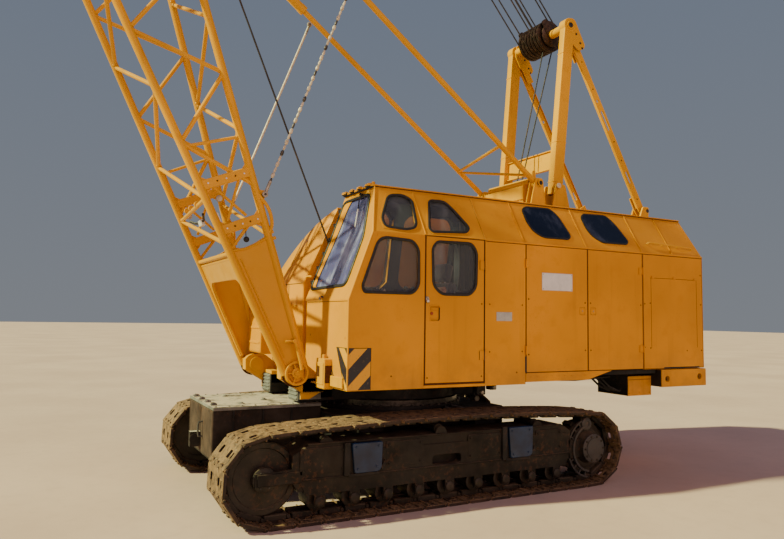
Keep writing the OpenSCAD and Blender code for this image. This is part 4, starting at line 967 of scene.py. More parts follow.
def build_house_sides():
    me = Mesh()
    # fixed seams of the rear panel, the corner, and the line over the skirt
    for x, w, z0, z1 in ((2.957, 0.007, 1.352, EAVE - 0.004), (4.100, 0.005, 1.352, EAVE)):
        me.box((x, -1.5015, z0), (x + w, -1.497, z1), "seam", 0.0005)
    me.box((2.957, -1.5015, 1.352), (4.105, -1.497, 1.357), "seam", 0.0005)
    me.box((1.030, -1.5022, 1.340), (1.044, -1.496, EAVE), "seam", 0.0005)
    me.box((1.022, -1.5030, 1.355), (1.047, -1.496, 1.537), "rubber", 0.001)
    # a hinged panel drawn on the rear part
    for x, w in ((3.102, 0.005), (3.984, 0.005)):
        me.box((x, -1.5012, 1.62), (x + w, -1.498, 2.533), "seam", 0.0004)
    me.box((3.102, -1.5012, 2.528), (3.989, -1.498, 2.533), "seam", 0.0004)
    for x in (3.13, 3.54, 3.95):
        me.box((x - 0.022, -1.510, 2.528), (x + 0.022, -1.499, 2.553), "house", 0.003)
        me.cyl((x - 0.024, -1.507, 2.534), (x + 0.024, -1.507, 2.534), 0.007, "house", 10, e=0.001)
    dots(me, [(3.085, 2.20), (3.085, 1.62), (4.070, 2.20), (4.070, 1.58), (2.985, 2.19), (2.985, 1.63), (3.78, 1.58), (4.07, 2.60)], "seam", 0.009)
    # lips of roof and eaves
    me.box((1.036, -1.186, 3.384), (4.062, -1.140, 3.402), "house", 0.005)
    me.box((1.036, -1.1875, 3.377), (4.050, -1.168, 3.385), "seam", 0.001)
    me.box((1.036, -1.5085, EAVE - 0.010), (4.112, -1.490, EAVE + 0.012), "house", 0.004)
    me.box((1.036, -1.5030, EAVE - 0.018), (4.112, -1.495, EAVE - 0.010), "seam", 0.001)
    me.T = SLOPE_L
    top = math.hypot(RUN, RISE)
    for x in (1.012, 1.983, 2.951, 3.52):
        w = 0.010 if x < 3.2 else 0.005
        me.box((x - w, 0.010, -0.002), (x + w, top - 0.02, 0.010), "house", 0.004)
        me.box((x + w, 0.010, -0.002), (x + w + 0.004, top - 0.02, 0.002), "seam", 0.0005)
    # rail along the rear of the slope, its ends bent down to it and two feet between
    me.tube([(3.120, 0.150, 0.004), (3.135, 0.158, 0.030), (3.160, 0.160, 0.034), (3.540, 0.140, 0.034), (3.915, 0.122, 0.034), (3.938, 0.120, 0.030), (3.952, 0.116, 0.004)], 0.009, "gantry", 10)
    for x, v in ((3.40, 0.147), (3.68, 0.133)):
        me.cyl((x, v, 0.0), (x, v, 0.030), 0.006, "gantry", 8)
    me.T = None
    for w in ROOF_WIN:
        poly = on_slope(w)
        me.T = SLOPE_L
        edge = soft(ccw(poly), 0.055, 6)
        me.plate(edge, 0.001, 0.009, "dark_glass", (0, 1, 2), e=0.003)
        me.strip([(x, y, 0.0) for x, y in edge], (0, 0, 1), 0.026, 0.012, "rubber")
        me.T = None
    # screws along the foot of the skirt
    for i in range(9):
        x = 1.10 + 0.105 * i
        me.cyl((x, -1.499, 1.300), (x, -1.505, 1.300), 0.008, "house", 10, e=0.002)
    mirror_y(me)
    # the cab's side of the house carries the lips on over the cab
    me.box((-0.800, -1.186, 3.384), (1.037, -1.140, 3.402), "house", 0.005)
    me.box((-0.790, -1.1875, 3.377), (1.037, -1.168, 3.385), "seam", 0.001)
    me.box((0.470, -1.5085, EAVE - 0.010), (1.037, -1.490, EAVE + 0.012), "house", 0.004)
    me.box((0.470, -1.5030, EAVE - 0.018), (1.037, -1.495, EAVE - 0.010), "seam", 0.001)
    # rear wall: radiator louvres, edge beads and two lamps
    for i in range(16):
        z = 1.62 + 0.062 * i
        me.plate([(4.104, z), (4.104, z + 0.040), (4.124, z + 0.006), (4.124, z)], -0.92, 0.92, "house", (0, 2, 1))
    me.box((4.108, -0.97, 1.575), (4.122, 0.97, 1.600), "house", 0.004)
    me.box((4.108, -0.97, 2.625), (4.122, 0.97, 2.650), "house", 0.004)
    for s in (-1, 1):
        me.box((4.108, s * 0.93, 1.575), (4.122, s * 0.97, 2.650), "house", 0.004)
        me.box((4.110, s * 1.20, 1.50), (4.140, s * 1.34, 1.58), "red", 0.006)
    me.make("house_side_trim", "superstructure")


def build_service_door(name, body, x0, x1, hinge_left, side, sign=False):
    me = Mesh()
    leaf_frame(me, x0 + 0.003, x1 - 0.003, 1.352, 2.842)
    c = x1 - 0.090 if hinge_left else x0 + 0.090
    flush_latch(me, c, 2.075)
    e = [(x1 - 0.045, 2.175), (x1 - 0.045, 1.600)] if hinge_left else [(x0 + 0.045, 2.175), (x0 + 0.045, 1.600)]
    f = [(x0 + 0.040, 2.20), (x0 + 0.040, 1.56)] if hinge_left else [(x1 - 0.040, 2.17), (x1 - 0.040, 1.60)]
    dots(me, e + f, "seam", 0.009)
    if sign:
        me.box((1.278, -1.504, 2.312), (1.744, -1.4985, 2.514), "white", 0.0012)
        for x in (1.292, 1.730):
            for z in (2.326, 2.500):
                me.cyl((x, -1.5035, z), (x, -1.5055, z), 0.006, "brass", 8)
        me.box((1.274, -1.5015, 2.308), (1.748, -1.4985, 2.518), "plate", 0.0008)
    if side > 0:
        me.v = [(x, -y, z) for x, y, z in me.v]
        me.f = [tuple(reversed(q)) for q in me.f]
    me.make(name, body)


def smooth_line(pts, n=6):
    out = []
    for i in range(len(pts) - 1):
        p0, p1, p2, p3 = pts[max(0, i - 1)], pts[i], pts[i + 1], pts[min(len(pts) - 1, i + 2)]
        for k in range(n):
            t = k / n
            out.append(tuple(0.5 * (2 * b + (c - a) * t + (2 * a - 5 * b + 4 * c - d) * t * t + (3 * b - a - 3 * c + d) * t ** 3)
                             for a, b, c, d in zip(p0, p1, p2, p3)))
    return out + [pts[-1]]


def build_hood():
    """Curved cover over the winches, with a sloping front, and the small cover of the winch gear."""
    me = Mesh()
    arch = smooth_line([(-0.150, 3.281), (0.180, 3.190), (0.520, 3.030), (0.770, 2.820), (0.930, 2.600), (1.020, 2.360), (1.040, 2.165)], 7)
    prof = [(-0.190, 1.219), (-0.190, 2.350), (-0.190, 3.262), (-0.180, 3.278)] + arch + [(1.062, 2.148), (1.470, 2.088), (1.496, 2.074), (1.500, 2.045), (1.500, 1.219)]
    out = []
    for i, (y, z) in enumerate(prof):
        if i and (prof[i - 1][1] - 2.350) * (z - 2.350) < -1e-9:
            t = (2.350 - prof[i - 1][1]) / (z - prof[i - 1][1])
            out.append((prof[i - 1][0] + (y - prof[i - 1][0]) * t, 2.350))
        out.append((y, z))
    prof = out

    def fx(z):
        return -1.212 if z <= 2.350 else -1.212 + (z - 2.350) * 0.4500
    n = len(prof)
    e = 0.012
    front = [(fx(z), y, z) for y, z in prof]
    mid = [(fx(z) + e, y, z) for y, z in prof]
    back = [(1.029, y, z) for y, z in prof]
    # the front face set in a little, so its edge is rounded
    cy = 0.45
    face = [(x, y + (e if y < cy else -e) * 0.7, z - (e * 0.6 if z > 2.5 else 0)) for x, y, z in front]
    rings = [face, mid, back]
    vs = [p for r in rings for p in r]
    fs = []
    for i in range(2):
        for j in range(n - 1):
            fs.append([i * n + j, i * n + j + 1, (i + 1) * n + j + 1, (i + 1) * n + j])
    lowf = [i for i, (y, z) in enumerate(prof) if z <= 2.3501]
    upf = [i for i, (y, z) in enumerate(prof) if z >= 2.3499]
    fs.append(list(reversed(lowf)))
    fs.append(list(reversed(upf)))
    # inner skin, so the open underside has thickness
    a = Vector(vs[fs[0][0]]); 
    me.add(vs, [list(reversed(f)) for f in fs], "house")
    inner = [(x + 0.03, y + (0.03 if y < cy else -0.03), z - (0.03 if z > 2.2 else 0)) for x, y, z in front]
    inner2 = [(1.0, y + (0.03 if y < cy else -0.03), z - (0.03 if z > 2.2 else 0)) for y, z in prof]
    vs = inner + inner2
    fs = [[j, j + 1, n + j + 1, n + j] for j in range(n - 1)]
    me.add(vs, fs, "liner")
    # cover of the winch gear, between the legs of the boom
    me.plate(soft([(-1.590, 1.500), (-1.207, 1.500), (-1.207, 2.110), (-1.590, 2.110)], 0.045, 4), 0.190, 0.700, "house", (0, 2, 1), e=0.010)
    for z in (1.62, 1.80, 1.98):
        me.box((-1.598, 0.23, z), (-1.586, 0.66, z + 0.030), "house", 0.004)
    # joint lines, handles and edge beads
    for y in (0.30, 0.86):
        me.box((-1.2150, y, 1.26), (-1.2100, y + 0.006, 2.34), "seam", 0.0005)
    me.box((-1.2150, -0.18, 2.346), (-1.2100, 1.03, 2.352), "seam", 0.0005)
    for y in (0.12, 1.24):
        me.tube([(-1.212, y, 1.78), (-1.236, y, 1.79), (-1.242, y, 1.82), (-1.242, y, 1.92), (-1.236, y, 1.95), (-1.212, y, 1.96)], 0.008, "house", 8)
    me.tube([(fx(3.262) + 0.004, -0.188, 3.270), (0.2, -0.188, 3.270), (1.02, -0.188, 3.270)], 0.012, "house", 8)
    for x in (-0.40, 0.35):
        pts = [(x, y, z + 0.004) for y, z in prof if z > 2.40 and y > -0.185]
        me.tube(pts, 0.008, "house", 6)
    me.make("winch_hood", "superstructure", ["front_hood"])


def screen_x(z, d=0.0):
    return (-1.212 + (z - 2.140) * 0.3686 if z < EAVE else -0.951 + (z - EAVE) * 0.3155) - d


def build_cab():
    me = Mesh()
    # side windows and those of the sloping part
    window(me, WALL_L, WIN_FRONT, 0.105, "cab")
    window(me, SLOPE_L, on_slope(WIN_UP1), 0.085, "cab")
    window(me, SLOPE_L, on_slope(WIN_UP2), 0.060, "cab")
    for w in (WIN_FAR1, WIN_FAR2):
        k = math.hypot(0.210, 1.110) / 1.110
        window(me, LEAN_R, [(-x, (z - 2.280) * k) for x, z in w], 0.150, "cab")
    # far front post: it stands a little outside the wall, under the edge of the screen
    post = []
    for z, y in ((2.135, -0.262), (2.400, -0.284), (EAVE, -0.330), (3.386, -0.385)):
        x = screen_x(z)
        inn = y - 0.16 if z > 2.8 else y - 0.09
        post.append([(x, inn, z), (x - 0.004, y - 0.02, z), (x + 0.010, y, z), (x + 0.090, y, z), (x + 0.090, inn, z)])
    me.skin(post, "cab")
    # windscreen
    outline = [(-1.310, 2.275), (-1.310, 2.790), (-1.310 + 0.019, EAVE), (-1.130, 3.318), (-0.415, 3.318), (-0.300, 2.255)]
    edge = soft(offset(ccw(outline), -0.014), 0.090, 6)
    path, norms = [], []
    for i, (y, z) in enumerate(edge):
        y2, z2 = edge[(i + 1) % len(edge)]
        for k in range(4):
            t = k / 4
            a, b = y + (y2 - y) * t, z + (z2 - z) * t
            path.append((screen_x(b), a, b))
            s = 0.3686 if b < EAVE else 0.3155
            norms.append((-1, 0, s))
    me.strip(path, norms, 0.034, 0.016, "rubber")
    rows = 26
    zs = [2.266 + (3.309 - 2.266) * (0.5 - 0.5 * math.cos(PI * i / (rows - 1))) for i in range(rows)]
    vs, fs = [], []
    cols = 5
    for z in zs:
        hit = []
        for i, (y, zz) in enumerate(edge):
            y2, z2 = edge[(i + 1) % len(edge)]
            if (zz - z) * (z2 - z) <= 0 and abs(z2 - zz) > 1e-9:
                hit.append(y + (y2 - y) * (z - zz) / (z2 - zz))
        a, b = (min(hit), max(hit)) if hit else (-0.9, -0.8)
        for k in range(cols):
            vs.append((screen_x(z) + 0.010, a + (b - a) * k / (cols - 1), z))
    for i in range(rows - 1):
        for k in range(cols - 1):
            p = i * cols + k
            fs.append([p, p + 1, p + cols + 1, p + cols])
    N = len(vs)
    vs += [(x + 0.005, y, z) for x, y, z in vs]
    fs = [list(reversed(f)) for f in fs] + [[q + N for q in f] for f in fs]
    me.add(vs, fs, "screen")
    # sheet metal in the corners of the screen's opening
    for (y0, z0), (ya, za), (yb, zb) in (((-1.310, 2.275), (-1.310, 2.400), (-1.190, 2.275)), ((-0.400, 2.275), (-0.520, 2.275), (-0.425, 2.400)),
                                         ((-1.120, 3.300), (-1.020, 3.300), (-1.160, 3.200)), ((-0.610, 3.300), (-0.700, 3.300), (-0.590, 3.200))):
        cx, cz = (y0 + ya + yb) / 3, (z0 + za + zb) / 3
        c = soft([(ya, za), (y0, z0), (yb, zb)], 0.0001, 1)
        mid = ((ya + yb) / 2 * 0.45 + y0 * 0.55, (za + zb) / 2 * 0.45 + z0 * 0.55)
        tri = [(ya, za), (y0 + (y0 - cx) * 0.25, z0 + (z0 - cz) * 0.25), (yb, zb), mid]
        me.add([(screen_x(z) + h, y, z) for h in (0.001, 0.008) for y, z in tri],
               [[0, 1, 2, 3], [7, 6, 5, 4], [0, 4, 5, 1], [1, 5, 6, 2], [2, 6, 7, 3], [3, 7, 4, 0]], "cab")
    # clips down the right-hand post, wiper, visor strip over the screen
    for i in range(6):
        t = 0.08 + 0.165 * i
        y, z = -0.300 - 0.112 * t, 2.275 + 1.025 * t
        me.box((screen_x(z) - 0.024, y - 0.010, z - 0.020), (screen_x(z) + 0.004, y + 0.030, z + 0.020), "rubber", 0.004)
    me.cyl((screen_x(3.150, 0.026), -0.965, 3.150), (screen_x(2.940, 0.026), -1.040, 2.940), 0.008, "white", 10)
    me.cyl((screen_x(3.255, 0.030), -0.930, 3.255), (screen_x(3.150, 0.026), -0.965, 3.150), 0.007, "rubber", 8)
    me.cyl((screen_x(3.318, 0.002), -0.925, 3.318), (screen_x(3.318, 0.045), -0.925, 3.330), 0.016, "rubber", 12, e=0.002)
    # faint lattice of the sheet behind the screen
    for y0, z0, y1, z1 in ((-0.52, 2.50, -1.16, 2.93), (-0.56, 2.86, -1.02, 2.44), (-0.60, 3.12, -1.12, 2.80), (-0.62, 2.70, -0.96, 3.20)):
        me.cyl((screen_x(z0) + 0.19, y0, z0), (screen_x(z1) + 0.19, y1, z1), 0.010, "console", 8)
    me.box((-0.815, -1.168, 3.376), (-0.742, -0.385, 3.412), "cab", 0.010)
    for y, w in ((-1.08, 0.05), (-0.86, 0.04), (-0.66, 0.04), (-0.46, 0.05)):
        me.box((-0.842, y - w, 3.384), (-0.790, y + w, 3.424), "cab", 0.010)
    me.cyl((-0.780, -1.130, 3.395), (-0.780, -1.130, 3.440), 0.020, "cab", 14, e=0.004)
    # beads along the edges of the cab
    me.tube([(-1.212, -1.498, 1.26), (-1.212, -1.498, 2.135), (-0.953, -1.498, EAVE - 0.004), (-0.784, -1.172, 3.386)], 0.010, "cab", 8)
    me.T = SLOPE_L
    me.box((0.452, 0.006, -0.002), (0.466, 0.60, 0.006), "cab", 0.002)
    me.box((-0.330, 0.004, -0.002), (-0.318, 0.60, 0.007), "cab", 0.002)
    me.T = None
    # seams beside the door, the post behind it and its foot
    me.box((-0.332, -1.5026, 1.250), (-0.3245, -1.498, EAVE), "seam", 0.0008)
    me.box((-0.332, -1.5026, 1.252), (0.455, -1.498, 1.2665), "seam", 0.0008)
    me.box((0.4500, -1.5018, 1.250), (0.4575, -1.498, 1.560), "seam", 0.0008)
    me.box((0.4520, -1.5012, 1.560), (0.4560, -1.498, EAVE), "seam", 0.0006)
    me.tube([(-0.345, -1.500, EAVE + 0.004), (-0.10, -1.5045, EAVE + 0.006), (0.30, -1.5045, EAVE + 0.006), (0.47, -1.500, EAVE + 0.004)], 0.007, "cab", 8)
    # type plate, left blank
    me.box((0.613, -1.5040, 1.941), (0.832, -1.4985, 2.042), "plate", 0.001)
    # warning stripes on the corner
    me.box((-1.2135, -1.5035, 1.233), (-0.959, -1.4985, 1.645), "stripe_side", 0.0008)
    for a, b in (((-1.214, 1.645), (-0.955, 1.650)), ((-0.959, 1.229), (-0.954, 1.650))):
        me.box((a[0], -1.5042, a[1]), (b[0], -1.4985, b[1]), "rubber", 0.0005)
    me.plate([(-1.5030, 1.233), (-1.5030, 1.645), (-1.228, 1.645), (-1.300, 1.520), (-1.455, 1.233)], -1.2160, -1.2105, "stripe_side", (1, 2, 0))
    me.plate([(-1.5030, 1.645), (-1.5030, 1.650), (-1.222, 1.650), (-1.448, 1.229), (-1.457, 1.229), (-1.232, 1.645)], -1.2168, -1.2105, "rubber", (1, 2, 0))
    # slanting slits and small fittings on the front; each slit is a flat dark plate beside a raised lip, painted shade
    # of the opening
    for i in range(4):
        y, z = -1.088 - 0.030 * i, 1.415 - 0.030 * i
        me.plate([(y, z), (y - 0.008, z - 0.006), (y - 0.046, z - 0.066), (y - 0.038, z - 0.060)], -1.2150, -1.2105, "rubber", (1, 2, 0))
        me.plate([(y - 0.010, z + 0.004), (y - 0.016, z), (y - 0.056, z - 0.062), (y - 0.050, z - 0.058)], -1.2220, -1.2105, "cab", (1, 2, 0))
    me.cyl((-1.212, -0.800, 2.165), (-1.242, -0.800, 2.170), 0.018, "cab", 14, e=0.004)
    me.cyl((-1.240, -0.800, 2.170), (-1.252, -0.815, 2.140), 0.012, "brass", 12, e=0.003)
    me.tube([(-1.165, -0.345, 2.420), (-1.180, -0.290, 2.424), (-1.180, -0.240, 2.424), (-1.176, -0.192, 2.420)], 0.011, "gantry", 8)
    me.box((-1.2155, -1.470, 2.118), (-1.2105, -0.360, 2.123), "seam", 0.0005)
    for y in (-1.42, -0.46):
        me.cyl((-1.211, y, 1.75), (-1.218, y, 1.75), 0.010, "cab", 10, e=0.002)
    dots(me, [(-0.72, 1.36), (0.90, 1.36), (0.52, 2.127), (0.52, 1.596), (0.98, 2.127), (0.98, 1.596)], "seam", 0.008)
    # inside: pillar trim, dashboard, wheel box, levers
    me.box((-0.372, -1.446, 1.32), (-0.326, -1.412, 2.80), "lining", 0.006)
    me.box((0.462, -1.452, 1.32), (0.560, -1.405, 2.82), "lining", 0.006)
    me.plate([(-1.10, 1.30), (-1.14, 2.12), (-0.98, 2.20), (-0.88, 2.10), (-0.92, 1.30)], -1.36, -0.56, "console", (0, 2, 1), e=0.012)
    for i, y in enumerate((-1.24, -1.10, -0.96, -0.82, -0.68)):
        p = Vector((-0.925, y, 2.155))
        d = Vector((0.707, 0, 0.707))
        me.cyl(p - d * 0.01, p + d * 0.014, 0.045, "rubber", 20, e=0.005)
        me.cyl(p + d * 0.010, p + d * 0.016, 0.036, "white", 20)
    for y, x, lean in ((-1.34, -0.40, 0.05), (-1.30, -0.30, 0.04), (-0.62, -0.42, 0.05), (-0.60, -0.30, 0.04), (-0.64, -0.18, 0.03)):
        me.tube([(x, y, 1.82), (x - 0.01, y, 1.98), (x - lean, y, 2.14), (x - lean * 1.5, y, 2.26)], 0.011, "rubber", 10)
        me.ball((x - lean * 1.5, y, 2.275), 0.026, "rubber", 14)
    me.tube([(-0.78, -1.15, 1.36), (-0.80, -1.15, 1.80), (-0.72, -1.12, 2.18), (-0.60, -1.10, 2.26)], 0.014, "brass", 10)
    me.box((0.600, -1.38, 1.34), (0.735, -0.42, 2.30), "lining", 0.015)
    # curtain at the rear of the cab's inside
    rings = []
    for i in range(25):
        y = -1.30 + 0.034 * i
        x = 0.690 + 0.012 * math.sin(i * 1.9)
        rings.append([(x, y, 2.30), (x, y, 3.18), (x + 0.008, y, 3.18), (x + 0.008, y, 2.30)])
    me.skin(rings, "lining")
    me.make("cab_fittings", "superstructure")

    # seat
    me = Mesh()
    me.box((-0.300, -1.180, 1.300), (0.100, -0.760, 1.560), "console", 0.02)
    me.plate(soft([(-0.420, 1.560), (-0.420, 1.690), (0.120, 1.690), (0.120, 1.560)], 0.05, 4), -1.235, -0.725, "seat", (0, 2, 1), e=0.03)
    me.plate(soft([(-0.380, 1.660), (-0.380, 1.745), (0.080, 1.735), (0.080, 1.660)], 0.04, 4), -1.190, -0.770, "tan", (0, 2, 1), e=0.03)
    me.plate(soft([(0.020, 1.700), (0.150, 1.700), (0.285, 2.350), (0.185, 2.382)], 0.05, 4), -1.215, -0.745, "seat", (0, 2, 1), e=0.03)
    me.plate(soft([(-0.030, 1.760), (0.040, 1.750), (0.195, 2.300), (0.130, 2.330)], 0.045, 4), -1.165, -0.795, "tan", (0, 2, 1), e=0.03)
    me.plate(soft([(0.150, 2.400), (0.262, 2.372), (0.305, 2.575), (0.195, 2.605)], 0.04, 4), -1.115, -0.845, "seat", (0, 2, 1), e=0.03)
    for y in (-1.03, -0.93):
        me.cyl((0.215, y, 2.33), (0.235, y, 2.42), 0.010, "chrome", 8)
    for y in (-1.265, -0.695):
        me.plate(soft([(-0.300, 1.900), (-0.300, 1.965), (0.120, 1.985), (0.120, 1.920)], 0.02, 3), y - 0.035, y + 0.035, "tan", (0, 2, 1), e=0.012)
        me.box((0.02, y - 0.015, 1.70), (0.06, y + 0.015, 1.93), "console", 0.005)
    me.make("driver_seat", "superstructure", ["operator_seat"])

    # door of the cab
    me = Mesh()
    window(me, WALL_L, WIN_DOOR, 0.120, "cab")
    leaf_frame(me, -0.323, 0.444, 1.268, 2.842, 0.005, left=0.009, low=0.007)
    ring = soft([(-0.268, 1.928), (-0.134, 1.928), (-0.134, 2.098), (-0.268, 2.098)], 0.030, 5)
    me.strip([(x, -1.4995, z) for x, z in ring], (0, -1, 0), 0.012, 0.006, "cab")
    me.plate(soft([(-0.260, 1.938), (-0.142, 1.938), (-0.142, 2.088), (-0.260, 2.088)], 0.020, 4), -1.482, -1.479, "cab", (0, 2, 1))
    me.box((-0.250, -1.497, 2.050), (-0.152, -1.485, 2.072), "cab", 0.004)
    me.cyl((-0.232, -1.480, 2.012), (-0.232, -1.494, 2.012), 0.017, "red", 16, e=0.003)
    me.ball((-0.300, -1.516, 2.142), 0.021, "chrome", 16)
    me.box((-0.318, -1.508, 2.150), (-0.282, -1.499, 2.190), "brass", 0.003)
    me.tube([(-0.312, -1.512, 2.152), (-0.312, -1.514, 2.172), (-0.300, -1.515, 2.182), (-0.288, -1.514, 2.172), (-0.288, -1.512, 2.152)], 0.005, "chrome", 8)
    dots(me, [(0.410, 2.127), (0.410, 1.560), (-0.290, 1.330), (0.410, 1.330)], "seam", 0.008)
    # inside of the leaf
    me.box((-0.300, -1.458, 1.90), (0.420, -1.448, 2.14), "lining", 0.004)
    me.make("cab_door_trim", "cab_door_leaf")


build_house_sides()
build_service_door("left_front_door_trim", "left_front_door_leaf", 1.035, 1.996, True, -1, sign=True)
build_service_door("left_rear_door_trim", "left_rear_door_leaf", 1.996, 2.951, False, -1)
build_service_door("right_front_door_trim", "right_front_door_leaf", 1.035, 1.996, True, 1)
build_service_door("right_rear_door_trim", "right_rear_door_leaf", 1.996, 2.951, False, 1)
build_hood()
build_cab()


REAR = 4.156


def build_counterweight_trim():
    me = Mesh()
    # side plate with its two lifting holes
    holes = [ring2(3.392, 1.216, 0.040, 28), ring2(4.020, 1.232, 0.040, 28)]
    me.plate(soft([(3.283, 1.110), (REAR, 1.110), (REAR, 1.336), (3.283, 1.336)], 0.010, 3), -1.498, -1.440, "weight", (0, 2, 1), holes=holes, e=0.005)
    me.box((3.284, -1.438, 1.112), (REAR - 0.001, 0.0, 1.334), "weight", 0.004)
    # dark discs at the bottom of the lifting holes: painted shade inside them
    for x, z in ((3.392, 1.216), (4.020, 1.232)):
        me.cyl((x, -1.452, z), (x, -1.444, z), 0.041, "rubber", 24)
    # thin black sheet laid on the block's front face, on both halves: painted shade under the house
    me.box((3.276, -1.490, 1.116), (3.283, 0.0, 1.330), "black", 0.001)
    me.box((3.330, -1.5015, 1.3500), (4.020, -1.4985, 1.3690), "rubber", 0.0006)
    mirror_y(me)
    me.box((4.150, -0.30, 1.20), (4.166, 0.30, 1.222), "weight", 0.004)
    for s in (-1, 1):
        me.plate(soft([(3.34, 1.336), (3.44, 1.336), (3.43, 1.345), (3.35, 1.345)], 0.004, 2), s * 1.30 - 0.02, s * 1.30 + 0.02, "weight", (0, 2, 1))
    me.make("counterweight_block", "superstructure", ["counterweight"])
    # valve box: lid seam, bolts and hoses
    me = Mesh()
    me.box((2.860, -1.3330, 1.200), (3.270, -1.3295, 1.205), "seam", 0.0005)
    # thin black sheet laid on the valve box's front face: painted shade under the deck
    me.box((2.8475, -1.322, 1.002), (2.8530, -0.808, 1.352), "black", 0.0008)
    for x in (2.88, 3.06, 3.25):
        me.bolt((x, -1.330, 1.03), (0, -1, 0), 0.008, "house")
    for i, x in enumerate((2.82, 2.79, 2.75)):
        me.tube([(x + 0.04, -1.20 + 0.05 * i, 1.06), (x, -1.20 + 0.05 * i, 1.05), (x - 0.12, -1.16 + 0.05 * i, 1.10), (x - 0.20, -1.10 + 0.05 * i, 1.20)], 0.014, "rubber", 8)
    me.make("valve_box_trim", "superstructure")


build_counterweight_trim()


# ---------------------------------------------------------------- boom
BT = math.radians(68.7)
SB, CB = math.sin(BT), math.cos(BT)
T_BOOM = Matrix(((SB, 0, -CB, -1.500), (0, 1, 0, 0), (CB, 0, SB, 1.357), (0, 0, 0, 1)))
S1, S2, S3, BL = 5.750, 11.750, 17.150, 17.500
CR, LR = 0.043, 0.0235


def hd(s):
    return 0.110 + 0.456 * s / S1 if s < S1 else 0.566 if s < S2 else 0.566 - 0.316 * (s - S2) / (S3 - S2)


def hw(s):
    return 0.800 - 0.273 * s / S1 if s < S1 else 0.527 if s < S2 else 0.527 - 0.227 * (s - S2) / (S3 - S2)


def ch(s, t, w):
    return (-t * hd(s), w * hw(s), s)


def at_boom(s, X, y=0.0):
    return T_BOOM @ Vector((X, y, s))


def lace(me, p, q, r=LR, look="boom"):
    """A lacing tube with flattened, welded ends."""
    p, q = Vector(p), Vector(q)
    d = (q - p).normalized()
    me.cyl(p, q, r, look, 10)
    for a, s in ((p, 1), (q, -1)):
        me.cyl(a + d * s * (CR * 0.92), a + d * s * (CR * 0.92 + 0.012), r * 1.22, look, 10, e=0.003)


def chords(me, a, b):
    for t in (-1, 1):
        for w in (-1, 1):
            me.cyl(ch(a, t, w), ch(b, t, w), CR, "boom", 24)


def lacing(me, a, b, n):
    p = (b - a) / n
    for i in range(n):
        for w in (-1, 1):
            lace(me, ch(a + i * p, w, w), ch(a + (i + 0.5) * p, -w, w))
            lace(me, ch(a + (i + 0.5) * p, -w, w), ch(a + (i + 1) * p, w, w))
            lace(me, ch(a + i * p, w, -w), ch(a + (i + 0.5) * p, w, w))
            lace(me, ch(a + (i + 0.5) * p, w, w), ch(a + (i + 1) * p, w, -w))


def end_frame(me, s):
    for k in (-1, 1):
        lace(me, ch(s, k, -1), ch(s, k, 1), LR + 0.003)
        lace(me, ch(s, -1, k), ch(s, 1, k), LR + 0.003)


def joint_forks(me, s, up):
    """Forks and pins that join two sections, drawn on the end of one of them."""
    k = 1 if up else -1
    for t in (-1, 1):
        for w in (-1, 1):
            X, y, z = ch(s, t, w)
            me.cyl((X, y, z), (X, y, z + k * 0.105), 0.056, "boom", 20, e=0.004, r2=0.050)
            if up:
                me.cyl((X, y - 0.082, z + 0.030), (X, y + 0.082, z + 0.030), 0.020, "grease", 14, e=0.003)
                for q in (-1, 1):
                    me.cyl((X, y + q * 0.060, z + 0.030), (X, y + q * 0.072, z + 0.030), 0.034, "boom", 16, e=0.002)


def foot_plane(w):
    """Sloping plane of one side of the foot: local x across it, y up the boom, z outwards on the left."""
    return T_BOOM @ plane((0, w * 0.800, 0), (1, 0, 0), (0, -w * 0.273, S1))


